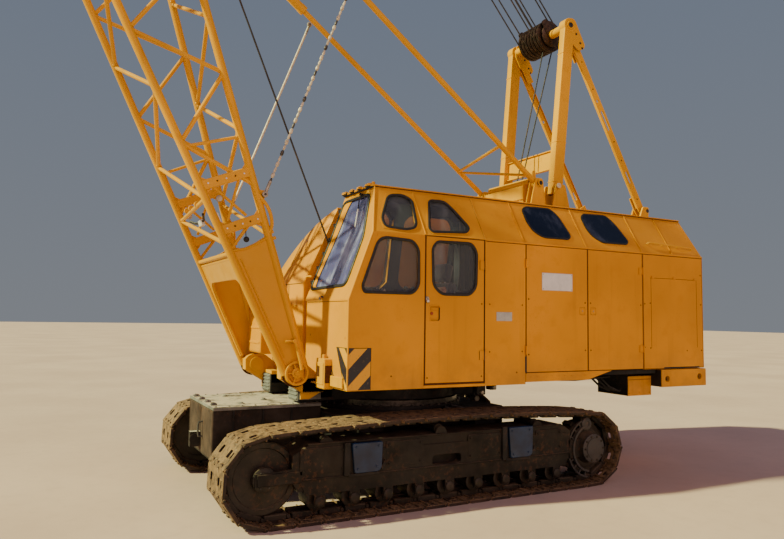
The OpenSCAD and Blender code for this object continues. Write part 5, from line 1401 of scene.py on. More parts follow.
def build_boom_foot():
    me = Mesh()
    me.T = T_BOOM
    chords(me, 0.03, S1)
    lacing(me, 2.030, S1 - 0.040, 3)
    end_frame(me, S1 - 0.040)
    lace(me, ch(2.600, 1, -1), ch(2.560, -1, -1), 0.018)
    lace(me, ch(2.560, 1, 1), ch(2.600, -1, 1), 0.018)
    # last bays down to the portal: the front, and open panels on the sides
    lace(me, ch(2.030, 1, -1), ch(1.960, 1, 1))
    lace(me, ch(1.520, 1, -1), ch(1.960, 1, 1))
    lace(me, ch(1.415, 1, -1), ch(1.415, 1, 1), 0.026)
    lace(me, ch(1.480, -1, -1), ch(2.020, -1, 1), 0.020)
    for w in (-1, 1):
        lace(me, ch(1.440, 1, w), ch(1.630, -0.2, w), 0.018)
        lace(me, ch(1.745, 0.55, w), ch(2.120, -0.45, w), 0.016)
        lace(me, ch(1.745, -0.30, w), ch(2.120, 0.55, w), 0.016)
    joint_forks(me, S1, False)
    for w in (-1, 1):
        me.T = foot_plane(w)
        k = w * -1
        lo, hi = (-0.012, 0.012)
        out = [(-hd(0.10) + 0.02, 0.05), (-hd(1.40), 1.400), (-hd(1.44) + 0.05, 1.452), (-0.080, 1.430), (0.060, 1.444), (hd(1.44) - 0.03, 1.478), (hd(1.44) + 0.045, 1.470),
               (hd(1.36) + 0.040, 1.36), (hd(0.10), 0.05), (0.06, -0.09), (-0.06, -0.09)]
        me.plate(out, lo, hi, "boom", (0, 1, 2), e=0.002)
        # turned-over top edge and stiffeners of the side plate
        o = k * 0.013
        me.tube([(-hd(1.41) + 0.03, 1.436, o), (-0.05, 1.416, o), (0.08, 1.430, o), (hd(1.42), 1.462, o)], 0.014, "boom", 8)
        for a, b in (((-hd(1.30) + 0.075, 1.33), (-0.060, 0.20)), ((hd(1.30) - 0.020, 1.34), (0.115, 0.20))):
            me.tube([(a[0], a[1], o), (b[0], b[1], o)], 0.009, "boom", 6)
        # beams between the chords
        for s, dz in ((1.615, 0.105), (2.115, 0.105)):
            body = [(-hd(s), s), (-hd(s + dz) + 0.01, s + dz), (hd(s + dz) - 0.01, s + dz + 0.012), (hd(s), s + 0.012)]
            me.plate(body, -0.028, 0.028, "boom", (0, 1, 2), e=0.006)
            for i in range(5):
                x = -hd(s) * 0.72 + i * hd(s) * 0.36
                me.cyl((x, s + dz * 0.55, k * 0.026), (x, s + dz * 0.55, k * 0.034), 0.009, "seam" if i % 2 else "white", 10)
        # gussets where beams and lacing meet the chords
        for s, t in ((1.60, 1), (1.61, -1), (2.10, 1), (2.11, -1)):
            x = -t * hd(s)
            me.plate([(x, s - 0.05), (x + t * 0.085, s + 0.005), (x + t * 0.085, s + 0.115), (x, s + 0.185)], -0.006, 0.006, "boom", (0, 1, 2))
        # plate with the eye of the hanger rod
        me.plate(soft([(hd(1.85), 1.840), (hd(1.9) + 0.060, 1.862), (hd(1.9) + 0.118, 1.890), (hd(1.9) + 0.112, 1.938), (hd(1.95), 1.985)], 0.02, 3), -0.010, 0.010, "boom", (0, 1, 2), e=0.002)
        # bow of round bar behind the rear chord
        path = smooth_line([(hd(1.96) - 0.01, 1.960, k * 0.02), (hd(1.9) + 0.020, 1.880, k * 0.035), (hd(1.8) + 0.062, 1.770, k * 0.040), (hd(1.7) + 0.072, 1.660, k * 0.040), (hd(1.6) + 0.050, 1.555, k * 0.035), (hd(1.5) - 0.01, 1.478, k * 0.02)], 5)
        me.tube(path, 0.019, "boom", 10)
        for x, s in ((hd(1.50) + 0.045, 1.500), (hd(1.46) + 0.050, 1.430)):
            me.box((x - 0.030, s - 0.018, -0.026), (x + 0.020, s + 0.018, 0.026), "boom", 0.006)
        # bolt heads up the plate's front edge
        for i in range(5):
            s = 0.28 + 0.23 * i
            me.cyl((-hd(s) * 0.30, s, k * 0.011), (-hd(s) * 0.30, s, k * 0.015), 0.008, "boom", 8)
        me.T = T_BOOM
        # foot: hub with a stepped face, ribs like a star, collar of the pin
        y0 = w * 0.752
        d = (0, w, 0)
        me.lathe((0, y0, 0), d, [(0.060, 0.0), (0.122, 0.0), (0.130, 0.006), (0.132, 0.100), (0.126, 0.106), (0.108, 0.106), (0.104, 0.100), (0.100, 0.048), (0.060, 0.046), (0.056, 0.100), (0.048, 0.104), (0.0002, 0.104)], "boom", 44)
        me.cyl((0, w * 0.605, 0), (0, w * 0.850, 0), 0.050, "boom", 32, e=0.004)
        for i in range(5):
            a = 2 * PI * i / 5 + 0.25
            c, s = math.cos(a), math.sin(a)
            me.cyl((c * 0.040, w * 0.846, s * 0.040), (c * 0.110, w * 0.838, s * 0.110), 0.0095, "boom", 8)
        me.cyl((0, w * 0.850, 0), (0, w * 0.872, 0), 0.030, "boom", 20, e=0.006)
        me.lathe((0, y0, 0), d, [(0.134, 0.030), (0.150, 0.030), (0.152, 0.032), (0.152, 0.044), (0.150, 0.046), (0.134, 0.046)], "seam", 40)
        me.ball((0.010, w * 0.864, 0.012), 0.016, "boom", 10)
        # locking lever over the hub
        me.tube([(0.052, w * 0.884, 0.020), (0.066, w * 0.888, 0.120), (0.078, w * 0.880, 0.240), (0.086, w * 0.866, 0.330)], 0.019, "boom", 10)
        me.tube([(0.086, w * 0.866, 0.330), (0.040, w * 0.868, 0.348), (-0.010, w * 0.868, 0.364)], 0.012, "boom", 10)
        me.cyl((0.086, w * 0.800, 0.330), (0.086, w * 0.886, 0.330), 0.024, "boom", 12, e=0.003)
    # portal plate on the front face, arched between the legs, with its edge turned over
    kf = (hd(S1) - hd(0)) / S1
    me.T = T_BOOM @ plane((-0.110, 0, 0), (0, 1, 0), (-kf, 0, 1))
    inner = [(hw(0.15) - 0.095, 0.150), (hw(0.60) - 0.095, 0.600), (hw(0.95) - 0.097, 0.950), (hw(1.05) - 0.112, 1.045), (hw(1.10) - 0.150, 1.110), (hw(1.14) - 0.215, 1.140), (hw(1.14) - 0.30, 1.145)]
    arch = soft(inner + [(-a, b) for a, b in reversed(inner)], 0.0, 1) if False else inner + [(-a, b) for a, b in reversed(inner)]
    out = [(-hw(0.15), 0.150), (-hw(1.35), 1.375), (hw(1.35), 1.375), (hw(0.15), 0.150)]
    me.plate(out + arch, -0.010, 0.010, "boom", (0, 1, 2))
    me.tube([(a, b, 0.012) for a, b in arch], 0.013, "boom", 8)
    me.box((-hw(1.38) + 0.03, 1.352, -0.012), (hw(1.38) - 0.03, 1.385, 0.062), "boom", 0.008)
    for s in (-1, 1):
        me.plate([(s * 0.02, 1.16), (s * 0.02, 1.355), (s * 0.03, 1.355), (s * 0.03, 1.16)], 0.0, 0.050, "boom", (0, 1, 2))
    me.T = T_BOOM
    # guide roller on the front, hanging ball, nameless small fittings
    for w in (-1,):
        me.cyl((-0.205, w * 0.690, 1.72), (-0.215, w * 0.690, 1.86), 0.020, "white", 12, e=0.003)
        me.cyl((-0.150, w * 0.735, 1.99), (-0.150, w * 0.765, 1.99), 0.034, "brass", 18, e=0.004)
        me.cyl((0.021, w * 0.735, 1.633), (-0.010, w * 0.740, 1.530), 0.0045, "rubber", 6)
        me.ball((-0.015, w * 0.740, 1.505), 0.031, "rubber", 18)
    me.cyl((-0.150, 0.745, 1.99), (-0.150, 0.775, 1.99), 0.034, "brass", 18, e=0.004)
    # pipe clamps and a lamp bracket on the cross tubes
    for y in (-0.28, 0.02, 0.26):
        X, _, s = ch(2.03, 1, 0)
        me.cyl((X, y - 0.018, s), (X, y + 0.018, s), 0.031, "boom", 12, e=0.003)
    me.tube([(-0.265, 0.30, 1.90), (-0.235, 0.22, 1.86), (-0.20, 0.10, 1.84), (-0.19, -0.02, 1.86), (-0.21, -0.15, 1.92)], 0.014, "rope", 8)
    me.box((-0.225, 0.02, 1.80), (-0.175, 0.14, 1.88), "white", 0.012)
    me.make("boom_foot", "boom", ["boom_foot_section"])


def build_boom_upper():
    me = Mesh()
    me.T = T_BOOM
    chords(me, S1, S2)
    lacing(me, S1 + 0.040, S2 - 0.040, 5)
    end_frame(me, S1 + 0.040)
    end_frame(me, S2 - 0.040)
    joint_forks(me, S1, True)
    joint_forks(me, S2, False)
    st, ss = 0.634, 6.620
    for w in (-1, 1):
        a, b = sorted((w * (0.527 - 0.012), w * (0.527 + 0.012)))
        me.plate(soft([(0.556, ss - 0.120), (st + 0.035, ss - 0.055), (st + 0.035, ss + 0.055), (0.556, ss + 0.120)], 0.02, 3), a, b, "boom", (0, 2, 1), e=0.002)
        me.cyl((st, w * 0.505, ss), (st, w * 0.566, ss), 0.062, "boom", 28, e=0.004)
        me.cyl((st, w * 0.566, ss), (st, w * 0.572, ss), 0.030, "grease", 18, e=0.002)
    # clips for the cable along the rear of the left front chord
    for i in range(6):
        s = 6.3 + i * 0.95
        X, y, _ = ch(s, 1, -1)
        me.cyl((X, y, s - 0.020), (X, y, s + 0.020), 0.047, "boom", 16, e=0.003)
    me.make("boom_middle", "boom", ["boom_middle_section"])

    me = Mesh()
    me.T = T_BOOM
    chords(me, S2, S3)
    lacing(me, S2 + 0.040, S3 - 0.400, 4)
    end_frame(me, S2 + 0.040)
    end_frame(me, S3 - 0.400)
    joint_forks(me, S2, True)
    out = [(-hd(16.65), 16.650), (-hd(17.0), 17.000), (-0.160, 17.500), (-0.105, 17.600), (-0.040, 17.632), (0.040, 17.632), (0.105, 17.600), (0.390, 17.372), (0.402, 17.240),
           (0.500, 16.700), (0.490, 16.645), (hd(16.65), 16.640)]
    for a, b in ((-0.346, -0.316), (0.316, 0.346)):
        me.plate(out, a, b, "boom", (0, 2, 1), holes=[ring2(-0.130, 17.060, 0.028, 20), ring2(0.08, 16.95, 0.085, 24)], e=0.003)
        y = a if a < 0 else b
        s = -1 if a < 0 else 1
        for X, z, r in ((0, 17.5, 0.090), (0.330, 17.3, 0.060), (0.440, 16.7, 0.052)):
            me.cyl((X, y, z), (X, y + s * 0.014, z), r, "boom", 28, e=0.003)
    me.cyl((0, -0.362, 17.5), (0, 0.362, 17.5), 0.055, "boom", 28, e=0.004)
    for w in (-1, 1):
        a, b = sorted((w * 0.300, w * 0.372))
        me.cyl((0.330, a, 17.3), (0.330, b, 17.3), 0.045, "boom", 24, e=0.004)
        lace(me, (-hd(16.9), w * 0.290, 16.9), (hd(16.9), w * 0.290, 16.9), 0.030)
    me.cyl((0.440, -0.330, 16.7), (0.440, 0.330, 16.7), 0.032, "boom", 20)
    me.cyl((-0.160, -0.316, 17.15), (-0.160, 0.316, 17.15), 0.024, "boom", 16)
    me.make("boom_head", "boom", ["boom_head_section"])

    me = Mesh()
    me.T = T_BOOM
    for y in (-0.200, 0.200):
        sheave(me, (0, y, 17.5), 0.300, 0.048)
        me.lathe((0, y - 0.060, 17.5), (0, 1, 0), [(0.056, 0), (0.086, 0), (0.090, 0.004), (0.090, 0.116), (0.086, 0.120), (0.056, 0.120)], "sheave", 28)
    sheave(me, (0.440, -0.260, 16.7), 0.090, 0.048, 24)
    me.make("head_sheave_discs", "boom", ["head_sheaves"])


def sheave(me, c, r, w, n=44, look="sheave", spokes=6):
    """A grooved disc with a rim, a recessed web with ribs, and a hub, turning about the Y axis."""
    x, y, z = c
    h = w / 2
    g = min(0.030, r * 0.16)
    prof = [(r * 0.18, -h), (r * 0.30, -h), (r * 0.32, -h * 0.45), (r * 0.74, -h * 0.40), (r * 0.78, -h * 0.95), (r - 0.003, -h), (r, -h * 0.90), (r - g * 0.5, -h * 0.42), (r - g, 0.0),
            (r - g * 0.5, h * 0.42), (r, h * 0.90), (r - 0.003, h), (r * 0.78, h * 0.95), (r * 0.74, h * 0.40), (r * 0.32, h * 0.45), (r * 0.30, h), (r * 0.18, h)]
    me.lathe((x, y, z), (0, 1, 0), prof, look, n)
    if r > 0.15:
        for i in range(spokes):
            a = 2 * PI * i / spokes + 0.2
            ca, sa = math.cos(a), math.sin(a)
            for s in (-1, 1):
                me.cyl((x + ca * r * 0.30, y + s * h * 0.50, z + sa * r * 0.30), (x + ca * r * 0.76, y + s * h * 0.50, z + sa * r * 0.76), h * 0.34, look, 6)


build_boom_foot()
build_boom_upper()


# ---------------------------------------------------------------- hangers between boom and backstops
def line_T(x, z, deg):
    a = math.radians(deg - 90)
    return Matrix(((math.cos(a), 0, math.sin(a), x), (0, 1, 0, 0), (-math.sin(a), 0, math.cos(a), z), (0, 0, 0, 1)))


SDEG, LDEG = 36.91914, 48.85256


def build_hangers():
    c, s = math.cos(math.radians(SDEG)), math.sin(math.radians(SDEG))
    p0 = at_boom(1.9, hd(1.9) + 0.078)
    tx, tz = 1.950 - 3.530 * c, 3.800 + 3.530 * s
    L = math.hypot(tx - p0.x, tz - p0.z)
    T = line_T(p0.x, p0.z, math.degrees(math.atan2(tz - p0.z, p0.x - tx)))
    me = Mesh()
    me.T = T
    for y in (-0.735, 0.735):
        for z in (0.0, L):
            me.lathe((0, y - 0.018, z), (0, 1, 0), [(0.0002, 0), (0.030, 0), (0.033, 0.003), (0.033, 0.033), (0.030, 0.036), (0.0002, 0.036)], "brass", 24)
            me.cyl((0, y - 0.026, z), (0, y + 0.026, z), 0.013, "grease", 12, e=0.002)
        me.cyl((0, y, 0.03), (0, y, 0.16), 0.017, "brass", 14, e=0.003)
        me.cyl((0, y, L - 0.16), (0, y, L - 0.03), 0.017, "brass", 14, e=0.003)
    me.cyl((0, 0.735, 0.10), (0, 0.735, L - 0.10), 0.0145, "pale_rod", 16)
    # the near one is a string of links
    n = int((L - 0.26) / 0.068)
    for i in range(n):
        z = 0.13 + (L - 0.26) * (i + 0.5) / n
        h = (L - 0.26) / n * 0.5
        look = "pale_rod" if i % 5 else "hook"
        if i % 2:
            me.lathe((0, -0.735, z - h * 0.96), (0, 0, 1), [(0.007, 0), (0.0175, h * 0.35), (0.0195, h * 0.96), (0.0175, h * 1.55), (0.007, h * 1.92)], look, 8)
        else:
            me.lathe((0, -0.735, z - h * 0.96), (0, 0, 1), [(0.006, 0), (0.012, h * 0.30), (0.0135, h * 0.96), (0.012, h * 1.60), (0.006, h * 1.92)], look, 8)
    me.make("hanger_links", "hangers", ["hanger_rods"])


build_hangers()


# ---------------------------------------------------------------- revolving frame with the boom's foot brackets
def build_revolving_frame():
    me = Mesh()
    me.box((-1.190, -1.440, 1.245), (1.030, 1.440, 1.300), "deck", 0.006)
    me.box((1.020, -1.440, 1.285), (3.240, 1.440, 1.345), "deck", 0.006)
    me.box((3.230, -1.440, 1.340), (4.050, 1.440, 1.370), "deck", 0.005)
    for s in (-1, 1):
        a, b = sorted((s * 0.337, s * 0.640))
        me.plate([(-1.400, 1.030), (0.950, 1.030), (1.180, 1.190), (3.260, 1.225), (3.260, 1.253), (-1.400, 1.253)], a, b, "black", (0, 2, 1), e=0.006)
        a, b = sorted((s * 0.420, s * 0.640))
        me.box((3.200, a, 1.140), (3.275, b, 1.343), "black", 0.006)
        # ends of the girders, grey and ribbed
        a, b = sorted((s * 0.345, s * 0.632))
        me.box((-1.410, a, 1.036), (-1.396, b, 1.247), "girder", 0.004)
        for i in range(5):
            z = 1.052 + 0.042 * i
            me.box((-1.422, a + 0.012, z), (-1.404, b - 0.012, z + 0.016), "girder", 0.004)
        me.box((-1.395, s * 0.640 - 0.006, 1.050), (-1.150, s * 0.640 + 0.006, 1.235), "girder", 0.004)
        for i in range(6):
            x = -1.385 + 0.046 * i
            me.box((x, s * 0.640 - 0.012, 1.052), (x + 0.014, s * 0.640 + 0.012, 1.232), "girder", 0.004)
        # bracket of the foot pin
        a, b = sorted((s * 0.610, s * 0.740))
        me.plate([(-1.150, 1.140), (-1.395, 1.140), (-1.640, 1.290), (-1.645, 1.420), (-1.612, 1.458), (-1.560, 1.482), (-1.430, 1.482), (-1.380, 1.462), (-1.225, 1.340), (-1.150, 1.300)], a, b, "boom", (0, 2, 1), holes=[ring2(-1.500, 1.357, 0.051, 32)], e=0.004)
        a, b = sorted((s * 0.337, s * 0.740))
        me.plate([(-1.150, 1.140), (-1.395, 1.140), (-1.395, 1.293), (-1.150, 1.293)], a, b, "boom", (0, 2, 1), e=0.004)
        # collar on each side of the bracket
        me.lathe((-1.500, s * 0.740, 1.357), (0, s, 0), [(0.053, 0), (0.086, 0), (0.090, 0.003), (0.090, 0.006), (0.086, 0.009), (0.053, 0.009)], "boom", 36)
        me.lathe((-1.500, s * 0.610, 1.357), (0, -s, 0), [(0.053, 0), (0.086, 0), (0.090, 0.003), (0.090, 0.014), (0.086, 0.017), (0.053, 0.017)], "boom", 36)
        # stiffener under the bracket
        me.plate([(-1.400, 1.140), (-1.400, 1.065), (-1.300, 1.065), (-1.160, 1.140)], s * 0.70 - 0.010, s * 0.70 + 0.010, "boom", (0, 2, 1))
    me.box((-1.150, -0.640, 1.060), (-1.000, 0.640, 1.253), "black", 0.008)
    me.lathe((0, 0, 1.026), (0, 0, 1), [(0.0002, 0), (0.872, 0), (0.880, 0.006), (0.880, 0.221), (0.872, 0.227), (0.0002, 0.227)], "black", 72)
    for i in range(30):
        a = 2 * PI * i / 30
        me.bolt((0.835 * math.cos(a), 0.835 * math.sin(a), 1.027), (0, 0, -1), 0.014, "grease")
    # cross member under the hood with its lugs, hoses sagging along it
    for y in (-0.245, 0.245):
        me.box((-1.300, y - 0.050, 1.300), (-1.200, y + 0.050, 1.340), "black", 0.006)
    for i, (y0, y1, sag) in enumerate(((-1.30, -0.36, 0.050), (-1.10, 0.30, 0.085), (-0.30, 0.90, 0.070), (0.20, 1.30, 0.045), (-0.80, 0.05, 0.030))):
        path = [(-1.196 - 0.010 * (i % 3), y0 + (y1 - y0) * t / 10, 1.270 - sag * math.sin(PI * t / 10)) for t in range(11)]
        me.tube(path, 0.013 + 0.002 * (i % 2), "rubber", 8)
    # yellow box between cab and boom foot, with its cover, and small fittings beside it
    me.box((-1.300, -1.105, 1.205), (-1.192, -0.885, 1.520), "boom", 0.008)
    me.box((-1.308, -1.090, 1.250), (-1.298, -0.900, 1.480), "boom", 0.006)
    me.box((-1.312, -1.000, 1.330), (-1.305, -0.925, 1.440), "seam", 0.003)
    me.box((-1.300, -0.885, 1.246), (-1.160, -0.640, 1.262), "boom", 0.004)
    me.box((-1.236, -1.420, 1.240), (-1.206, -0.640, 1.350), "boom", 0.005)
    me.box((-1.236, -0.600, 1.250), (-1.206, 0.600, 1.345), "boom", 0.005)
    me.box((-1.236, 0.640, 1.250), (-1.206, 1.420, 1.345), "boom", 0.005)
    me.box((-1.290, -1.112, 1.270), (-1.215, -1.102, 1.450), "seam", 0.003)
    me.cyl((-1.250, -0.980, 1.518), (-1.250, -0.980, 1.560), 0.020, "boom", 14, e=0.003)
    for i, (y, h) in enumerate(((-0.42, 0.030), (-0.52, 0.042), (-0.60, 0.030))):
        me.box((-1.185, y - 0.028, 1.298), (-1.120, y + 0.028, 1.298 + h), "brass" if i == 1 else "boom", 0.005)
    for y in (-0.245, 0.710):
        me.box((-1.160, y - 0.060, 1.296), (-1.075, y + 0.060, 1.350), "boom", 0.008)
    # fittings hung under the deck behind the cab
    for x, z, lx, look in ((0.608, 1.119, 0.060, "black"), (0.780, 1.170, 0.045, "black")):
        me.box((x - lx, -1.230, z - 0.030), (x + lx, -1.130, 1.247), look, 0.008)
        me.cyl((x, -1.255, z), (x, -1.228, z), 0.022, "brass", 14, e=0.003)
    me.cyl((0.553, -1.220, 1.050), (0.553, -1.120, 1.050), 0.034, "grease", 20, e=0.004)
    me.tube([(0.553, -1.17, 1.080), (0.560, -1.17, 1.150), (0.600, -1.17, 1.200), (0.640, -1.17, 1.246)], 0.014, "rubber", 8)
    me.tube([(0.70, -1.16, 1.235), (1.10, -1.17, 1.215), (1.60, -1.16, 1.225), (2.10, -1.17, 1.210), (2.70, -1.16, 1.235)], 0.013, "rubber", 8)
    me.make("turning_frame", "superstructure", ["revolving_frame"])


build_revolving_frame()


# ---------------------------------------------------------------- gantry
def flat_box(me, p, q, wx, wy, look, r=0.014, n=3):
    """Box section from p to q with level ends and rounded corners."""
    rings = []
    for c in (p, q):
        loop = soft([(c[0] - wx / 2, c[1] - wy / 2), (c[0] + wx / 2, c[1] - wy / 2), (c[0] + wx / 2, c[1] + wy / 2), (c[0] - wx / 2, c[1] + wy / 2)], r, n)
        rings.append([(x, y, c[2]) for x, y in loop])
    me.skin(rings, look)


def build_gantry():
    RZ = 3.388
    GXX, GZZ = 2.532, 6.141
    me = Mesh()
    for s in (-1, 1):
        def pair(y, t=0.026):
            return sorted((s * y, s * (y + t)))
        # rails and ears on the roof
        a, b = sorted((s * 0.480, s * 0.660))
        me.box((1.780, a, RZ), (4.040, b, 3.480), "gantry", 0.012)
        for y in (0.440, 0.660):
            a, b = pair(y)
            me.plate(soft([(2.140, RZ), (2.500, RZ), (2.392, 3.822), (2.228, 3.822)], 0.035, 4), a, b, "gantry", (0, 2, 1), e=0.003)
        for y in (0.466, 0.640):
            a, b = pair(y)
            me.plate(soft([(3.820, RZ), (4.040, RZ), (4.050, 3.662), (3.930, 3.662)], 0.030, 4), a, b, "gantry", (0, 2, 1), e=0.003)
        for y in (0.535, 0.640):
            a, b = pair(y, 0.025)
            me.plate(soft([(1.780, RZ), (2.080, RZ), (2.012, 3.872), (1.890, 3.872)], 0.035, 4), a, b, "gantry", (0, 2, 1), e=0.003)
        me.cyl((1.950, s * 0.500, 3.800), (1.950, s * 0.700, 3.800), 0.031, "grease", 24, e=0.003)
        me.cyl((1.950, s * 0.690, 3.800), (1.950, s * 0.698, 3.800), 0.044, "gantry", 24, e=0.002)
        # leg with its feet, welds and head
        y0, y1 = s * 0.563, s * 0.590
        flat_box(me, (2.310, y0, 3.700), (2.534, y1, 6.165), 0.180, 0.110, "gantry")
        me.cyl((2.310, s * 0.440, 3.740), (2.310, s * 0.686, 3.740), 0.045, "grease", 28, e=0.003)
        for y in (0.436, 0.684):
            me.cyl((2.310, s * y, 3.740), (2.310, s * (y + 0.006), 3.740), 0.066, "gantry", 28, e=0.002)
        me.lathe((GXX, s * 0.528, GZZ), (0, s, 0), [(0.062, 0), (0.100, 0), (0.105, 0.004), (0.105, 0.118), (0.100, 0.122), (0.062, 0.122)], "gantry", 44)
        for z in (3.86, 4.43, 5.72):
            x = 2.310 + 0.222 * (z - 3.7) / 2.461
            y = s * (0.563 + 0.027 * (z - 3.7) / 2.461)
            me.box((x - 0.093, y - 0.058, z), (x + 0.093, y + 0.058, z + 0.012), "gantry", 0.003)
        # bracket that ties leg and rear strut at the head
        for y in (0.494, 0.622):
            a, b = pair(y, 0.018)
            me.plate(soft([(2.470, 6.060), (2.498, 6.245), (2.590, 6.262), (2.640, 6.235), (2.822, 5.905), (2.796, 5.850), (2.700, 5.805), (2.560, 5.900)], 0.028, 4), a, b, "gantry", (0, 2, 1), holes=[ring2(GXX, GZZ, 0.064, 28)], e=0.003)
        for x, z in ((2.726, 5.920), (2.650, 6.040), (2.762, 5.852)):
            me.cyl((x, s * 0.490, z), (x, s * 0.650, z), 0.016, "grease", 14, e=0.003)
        me.cyl((4.020, s * 0.464, 3.605), (4.020, s * 0.668, 3.605), 0.030, "grease", 24, e=0.003)
    # rear struts: two cheeks each with a web between them
    d = Vector((GXX + 0.104 - 3.990, 0, GZZ - 0.186 - 3.590))
    L = d.length
    d.normalize()
    u = Vector((d.z, 0, -d.x))
    for s in (-1, 1):
        T = Matrix(((u.x, 0, d.x, 3.990), (0, 1, 0, 0), (u.z, 0, d.z, 3.590), (0, 0, 0, 1)))
        me.T = T
        if s < 0:
            holes = [ring2(0.0, 1.793, 0.026, 16), soft([(-0.025, 1.330), (0.025, 1.330), (0.025, 1.640), (-0.025, 1.640)], 0.023, 4), soft([(-0.021, 0.480), (0.021, 0.480), (0.021, 0.672), (-0.021, 0.672)], 0.019, 4)]
        else:
            holes = [ring2(0.0, 1.780, 0.026, 16), ring2(0.0, 1.280, 0.026, 16), soft([(-0.021, 0.390), (0.021, 0.390), (0.021, 0.530), (-0.021, 0.530)], 0.019, 4)]
        hw_ = 0.057
        out = [(-0.020, -0.045), (0.020, -0.045), (0.046, -0.018), (hw_, 0.060), (hw_, L - 0.02), (0.040, L + 0.030), (-0.040, L + 0.030), (-hw_, L - 0.02), (-hw_, 0.060), (-0.046, -0.018)]
        a, b = sorted((s * 0.579, s * 0.597))
        me.plate(out, a, b, "gantry", (0, 2, 1), holes=holes, e=0.002)
        # the inner cheek is only at the ends, the flanges are shallow
        a, b = sorted((s * 0.505, s * 0.523))
        for lo, up in ((-0.045, 0.26), (L - 0.30, L + 0.03)):
            me.plate([(-hw_, max(lo, 0.06)), (-0.046, max(lo, -0.018)), (-0.020, lo), (0.020, lo), (0.046, max(lo, -0.018)), (hw_, max(lo, 0.06)), (hw_, up), (-hw_, up)] if lo < 0 else [(-hw_, lo), (hw_, lo), (hw_, L - 0.02), (0.040, up), (-0.040, up), (-hw_, L - 0.02)], a, b, "gantry", (0, 2, 1), e=0.002)
        a, b = sorted((s * 0.556, s * 0.582))
        for x in (-hw_ + 0.002, hw_ - 0.010):
            me.box((x, a, 0.090), (x + 0.008, b, L - 0.06), "gantry", 0.001)
        for z in (0.22, 0.85, 1.15, 1.98, 2.40):
            me.cyl((0, s * 0.598, z), (0, s * 0.603, z), 0.009, "grease", 10)
        me.T = None
    # tie plate with turned edges, low between the legs
    def leg_x(z):
        return 2.310 + 0.222 * (z - 3.7) / 2.461
    me.plate([(leg_x(4.07) - 0.006, 4.070), (leg_x(4.07) + 0.016, 4.070), (leg_x(4.35) + 0.016, 4.350), (leg_x(4.35) - 0.006, 4.350)], -0.515, 0.515, "gantry", (0, 2, 1), e=0.002)
    for z in (4.075, 4.345):
        me.box((leg_x(z) - 0.030, -0.512, z - 0.007), (leg_x(z) + 0.030, 0.512, z + 0.007), "gantry", 0.003)
    me.box((leg_x(4.16), -0.250, 4.130), (leg_x(4.16) + 0.05, 0.250, 4.300), "gantry", 0.006)
    # cross box ahead of the legs and the round tube on it
    me.box((1.850, -0.440, 3.600), (2.000, 0.440, 3.800), "gantry", 0.014)
    for s in (-1, 1):
        a, b = sorted((s * 0.330, s * 0.420))
        me.box((1.870, a, RZ), (1.980, b, 3.606), "gantry", 0.008)
        me.plate([(1.852, 3.600), (1.790, 3.470), (1.790, 3.400), (1.852, 3.400)], s * 0.375 - 0.008, s * 0.375 + 0.008, "gantry", (0, 2, 1))
        me.box((1.842, s * 0.444 - 0.006, 3.592), (2.008, s * 0.444 + 0.006, 3.808), "gantry", 0.003)
    me.cyl((1.925, -0.500, 3.848), (1.925, 0.400, 3.848), 0.048, "gantry", 28, e=0.004)
    me.cyl((1.925, -0.512, 3.848), (1.925, -0.498, 3.848), 0.026, "grease", 18, e=0.003)
    me.cyl((GXX, -0.660, GZZ), (GXX, 0.660, GZZ), 0.062, "gantry", 40, e=0.004)
    for s in (-1, 1):
        me.cyl((GXX, s * 0.658, GZZ), (GXX, s * 0.668, GZZ), 0.038, "grease", 24, e=0.003)
    # upright tab and pale ring by the near backstop ear
    me.plate(soft([(1.905, 3.86), (1.925, 3.990), (1.968, 3.996), (1.985, 3.86)], 0.018, 4), -0.560, -0.544, "gantry", (0, 2, 1))
    me.lathe((2.256, -0.700, 3.793), (0, -1, 0), [(0.018, 0), (0.034, 0), (0.036, 0.003), (0.036, 0.014), (0.030, 0.018), (0.018, 0.018)], "pale_rod", 28)
    me.make("gantry_frame", "superstructure", ["roof_brackets", "gantry_front_frame", "gantry_rear_struts"])

    me = Mesh()
    for i in range(-3, 4):
        sheave(me, (GXX, i * 0.066, GZZ), 0.232, 0.046, 52)
    me.cyl((GXX, -0.236, GZZ), (GXX, 0.236, GZZ), 0.100, "sheave", 32, e=0.004)
    for y in (-0.262, 0.244):
        me.lathe((GXX, y, GZZ), (0, 1, 0), [(0.064, 0), (0.170, 0), (0.176, 0.004), (0.176, 0.014), (0.170, 0.018), (0.064, 0.018)], "sheave", 40)
    me.make("gantry_sheave_pack", "superstructure", ["gantry_sheaves"])

    # keeper plates that swing with the luffing ropes
    me = Mesh()
    me.T = line_T(GXX, GZZ, LDEG)
    for y in (-0.272, 0.258):
        me.plate(soft([(-0.085, -0.080), (0.085, -0.080), (0.052, 0.250), (-0.052, 0.250)], 0.03, 4), y, y + 0.012, "sheave", (0, 2, 1), holes=[ring2(0, 0, 0.064, 28)], e=0.002)
    me.make("rope_keeper", "luff_guard", ["rope_guard"])

    # falls of the luffing tackle
    me = Mesh()
    me.T = line_T(GXX, GZZ, LDEG)
    pairs = ((-0.220, -0.198, -0.198), (-0.140, -0.132, -0.132), (0.110, 0.132, 0.066), (0.190, 0.198, 0.198))
    for yb, y1, y2 in pairs:
        me.tube([(0.208, y1, 0.0)] + [(0.208 + (0.196 - 0.208) * t / 8, y1 + (yb - y1) * t / 8, 5.2 * t / 8) for t in range(1, 9)], 0.0095, "rope", 8)
        me.tube([(-0.208, y2, 0.0)] + [(-0.208 + (0.208 - 0.196) * t / 8, y2 + (yb - y2) * t / 8, 5.2 * t / 8) for t in range(1, 9)], 0.0095, "rope", 8)
    a = me.T @ Vector((0, 0, 0.05))
    b = me.T @ Vector((0, 0, 5.10))
    o = me.make("luffing_ropes", None)
    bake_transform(o)

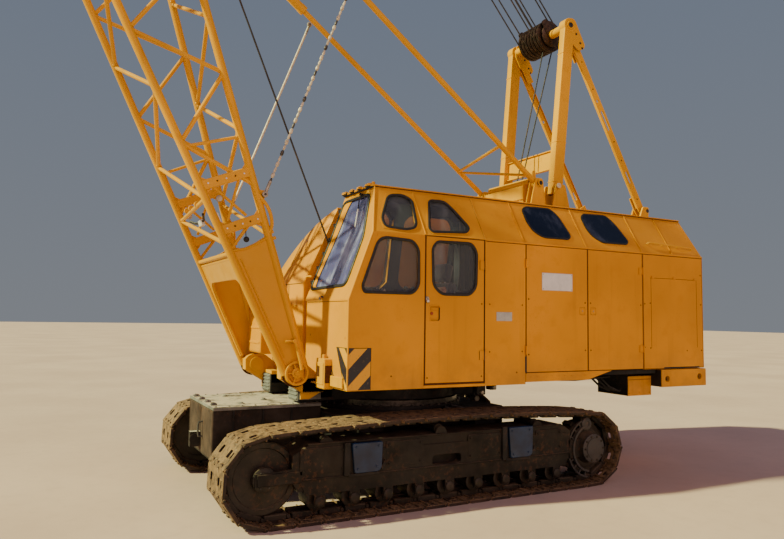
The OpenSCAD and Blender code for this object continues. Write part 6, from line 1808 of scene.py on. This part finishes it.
    # ropes wrapped on the pack, and two that drop to the drum under the roof
    me = Mesh()
    for i in (-3, -2, -1, 1, 2, 3):
        arc = [(GXX + 0.208 * math.cos(t), i * 0.066, GZZ + 0.208 * math.sin(t)) for t in [math.radians(41.1 - 180.0 * k / 20) for k in range(21)]]
        me.tube(arc, 0.0095, "rope", 8)
    for x0, y, z0, x1 in ((2.480, -0.132, 5.930, 1.900), (2.735, -0.066, 6.110, 2.010)):
        me.tube([(x0 + (x1 - x0) * t / 6, y, z0 + (3.500 - z0) * t / 6) for t in range(7)], 0.0095, "rope", 8)
    me.make("wound_ropes", "superstructure")


build_gantry()


# ---------------------------------------------------------------- backstops
def build_backstops():
    T = line_T(1.950, 3.800, SDEG)
    px, pz = (at_boom(6.62, 0.634).x, at_boom(6.62, 0.634).z)
    SL = math.hypot(px - 1.950, pz - 3.800)
    me = Mesh()
    me.T = T
    for s in (-1, 1):
        y = s * 0.600
        me.cyl((0, y, 0.020), (0, y, SL - 0.880), 0.036, "gantry", 28, e=0.003)
        me.lathe((0, y - 0.034, 0), (0, 1, 0), [(0.033, 0), (0.058, 0), (0.062, 0.004), (0.062, 0.064), (0.058, 0.068), (0.033, 0.068)], "gantry", 36)
        for z in (0.17, 0.57, 0.75, 1.35, 2.60):
            me.cyl((0, y, z - 0.016), (0, y, z + 0.016), 0.0385, "gantry", 24, e=0.003)
        me.plate([(-0.030, 0.05), (0.030, 0.05), (0.036, 0.19), (-0.036, 0.19)], y - 0.004, y + 0.004, "gantry", (0, 2, 1))
    me.cyl((0, 0.585, 0.570), (0, -0.585, 0.750), 0.021, "gantry", 14, e=0.002)
    me.cyl((0, 0.585, 0.540), (0, -0.585, 0.180), 0.018, "gantry", 14, e=0.002)
    me.make("backstop_lower_tubes", "backstops", ["backstop_tubes"])
    me = Mesh()
    me.T = T
    for s in (-1, 1):
        y = s * 0.600
        me.lathe((0, y, 3.760), (0, 0, 1), [(0.0395, 0), (0.050, 0), (0.050, 2.200), (0.0395, 2.200)], "grease", 32, True)
    me.make("backstop_middle_tubes", "backstop_mid", ["backstop_middle_stages"])
    me = Mesh()
    me.T = T
    for s in (-1, 1):
        y = s * 0.600
        me.lathe((0, y, 3.690), (0, 0, 1), [(0.054, 0), (0.062, 0), (0.065, 0.004), (0.065, 0.080), (0.061, 0.086), (0.061, SL - 4.062), (0.054, SL - 4.062)], "gantry", 32, True)
        me.lathe((0, y, SL - 0.372), (0, 0, 1), [(0.0002, 0), (0.061, 0), (0.061, 0.027), (0.056, 0.042), (0.0002, 0.042)], "gantry", 32)
        a, b = sorted((s * 0.578, s * 0.610))
        me.plate(soft([(-0.045, SL - 0.360), (0.045, SL - 0.360), (0.050, SL), (-0.050, SL)], 0.015, 3), a, b, "gantry", (0, 2, 1), e=0.003)
        me.lathe((0, a, SL), (0, 1, 0), [(0.0002, 0), (0.059, 0), (0.062, 0.003), (0.062, 0.029), (0.059, 0.032), (0.0002, 0.032)], "gantry", 32)
    me.make("backstop_upper_sleeves", "backstop_heads", ["backstop_sleeves"])


build_backstops()


# ---------------------------------------------------------------- hoist rope
def build_hoist_rope():
    RDEG = 66.839085
    T = line_T(-0.985, 2.955, RDEG)
    g = at_boom(16.700, 0.440 + 0.090 + 0.030)
    L = math.hypot(g.x + 0.985, g.z - 2.955)
    me = Mesh()
    me.T = T
    # rings along it let the stretch follow evenly
    me.tube([(0, -0.260, -0.300 + (L + 0.100) * t / 24) for t in range(25)], 0.0105, "rope", 12)
    o = me.make("hoist_rope", None)
    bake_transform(o)
    # two slim rollers under the hood's edge lead it in
    me = Mesh()
    me.T = T
    for x in (-0.028, 0.028):
        me.cyl((x, -0.295, -0.230), (x, -0.225, -0.230), 0.017, "sheave", 18, e=0.003)
    me.make("rope_leads", "fairlead", ["rope_fairlead", "hoist_rope_run"])


build_hoist_rope()


# ---------------------------------------------------------------- floor and light
def build_stage():
    k = Look("floor_look")
    f = k.noise(0.35, 4, 0.5)
    col = k.mix(k.span(f, 0.3, 0.7), (0.54, 0.385, 0.33), (0.62, 0.45, 0.385))
    col = k.mix(k.math("MULTIPLY", k.span(k.noise(5, 6, 0.65), 0.45, 0.75), 0.25), col, (0.44, 0.31, 0.26))
    n = k.bump(k.noise(9, 5), 0.06, 0.01)
    look = k.set(color=col, rough=0.85, normal=n, spec=0.3)
    me = bpy.data.meshes.new("floor")
    s = 130
    me.from_pydata([(-s, -s, 0), (s, -s, 0), (s, s, 0), (-s, s, 0)], [], [(0, 1, 2, 3)])
    me.materials.append(look)
    o = bpy.data.objects.new("floor", me)
    bpy.context.scene.collection.objects.link(o)

    w = bpy.data.worlds.new("studio")
    bpy.context.scene.world = w
    w.use_nodes = True
    t = w.node_tree
    t.nodes.clear()
    out = t.nodes.new("ShaderNodeOutputWorld")
    bg = t.nodes.new("ShaderNodeBackground")
    tc = t.nodes.new("ShaderNodeTexCoord")
    sep = t.nodes.new("ShaderNodeSeparateXYZ")
    mr = t.nodes.new("ShaderNodeMapRange")
    mx = t.nodes.new("ShaderNodeMix"); mx.data_type = "RGBA"
    t.links.new(tc.outputs["Generated"], sep.inputs[0])
    t.links.new(sep.outputs[2], mr.inputs["Value"])
    mr.inputs["From Min"].default_value = 0.0
    mr.inputs["From Max"].default_value = 0.75
    t.links.new(mr.outputs[0], mx.inputs[0])
    mx.inputs[6].default_value = (0.80, 0.86, 0.96, 1)
    mx.inputs[7].default_value = (0.48, 0.64, 0.95, 1)
    t.links.new(mx.outputs[2], bg.inputs["Color"])
    bg.inputs["Strength"].default_value = 0.25
    t.links.new(bg.outputs[0], out.inputs[0])

    def lamp(name, kind, energy, d, size, color=(1, 1, 1), at=None, spread=None):
        l = bpy.data.lights.new(name, kind)
        l.energy = energy
        l.color = color
        if kind == "SUN":
            l.angle = size
        else:
            l.size = size
        q = bpy.data.objects.new(name, l)
        bpy.context.scene.collection.objects.link(q)
        d = Vector(d).normalized()
        q.rotation_mode = "QUATERNION"
        q.rotation_quaternion = (-d).to_track_quat("-Z", "Y")
        q.location = Vector(at) if at else d * 40
        return q
    # soft key from ahead of the crane and a little beyond it, weak fill from the viewer's side
    lamp("key", "SUN", 7.4, (-0.80, 0.16, 0.62), math.radians(2), (0.96, 1.0, 0.50))
    lamp("fill", "SUN", 1.40, (-0.05, -0.85, 0.35), math.radians(60), (1.0, 0.56, 0.42))


build_stage()
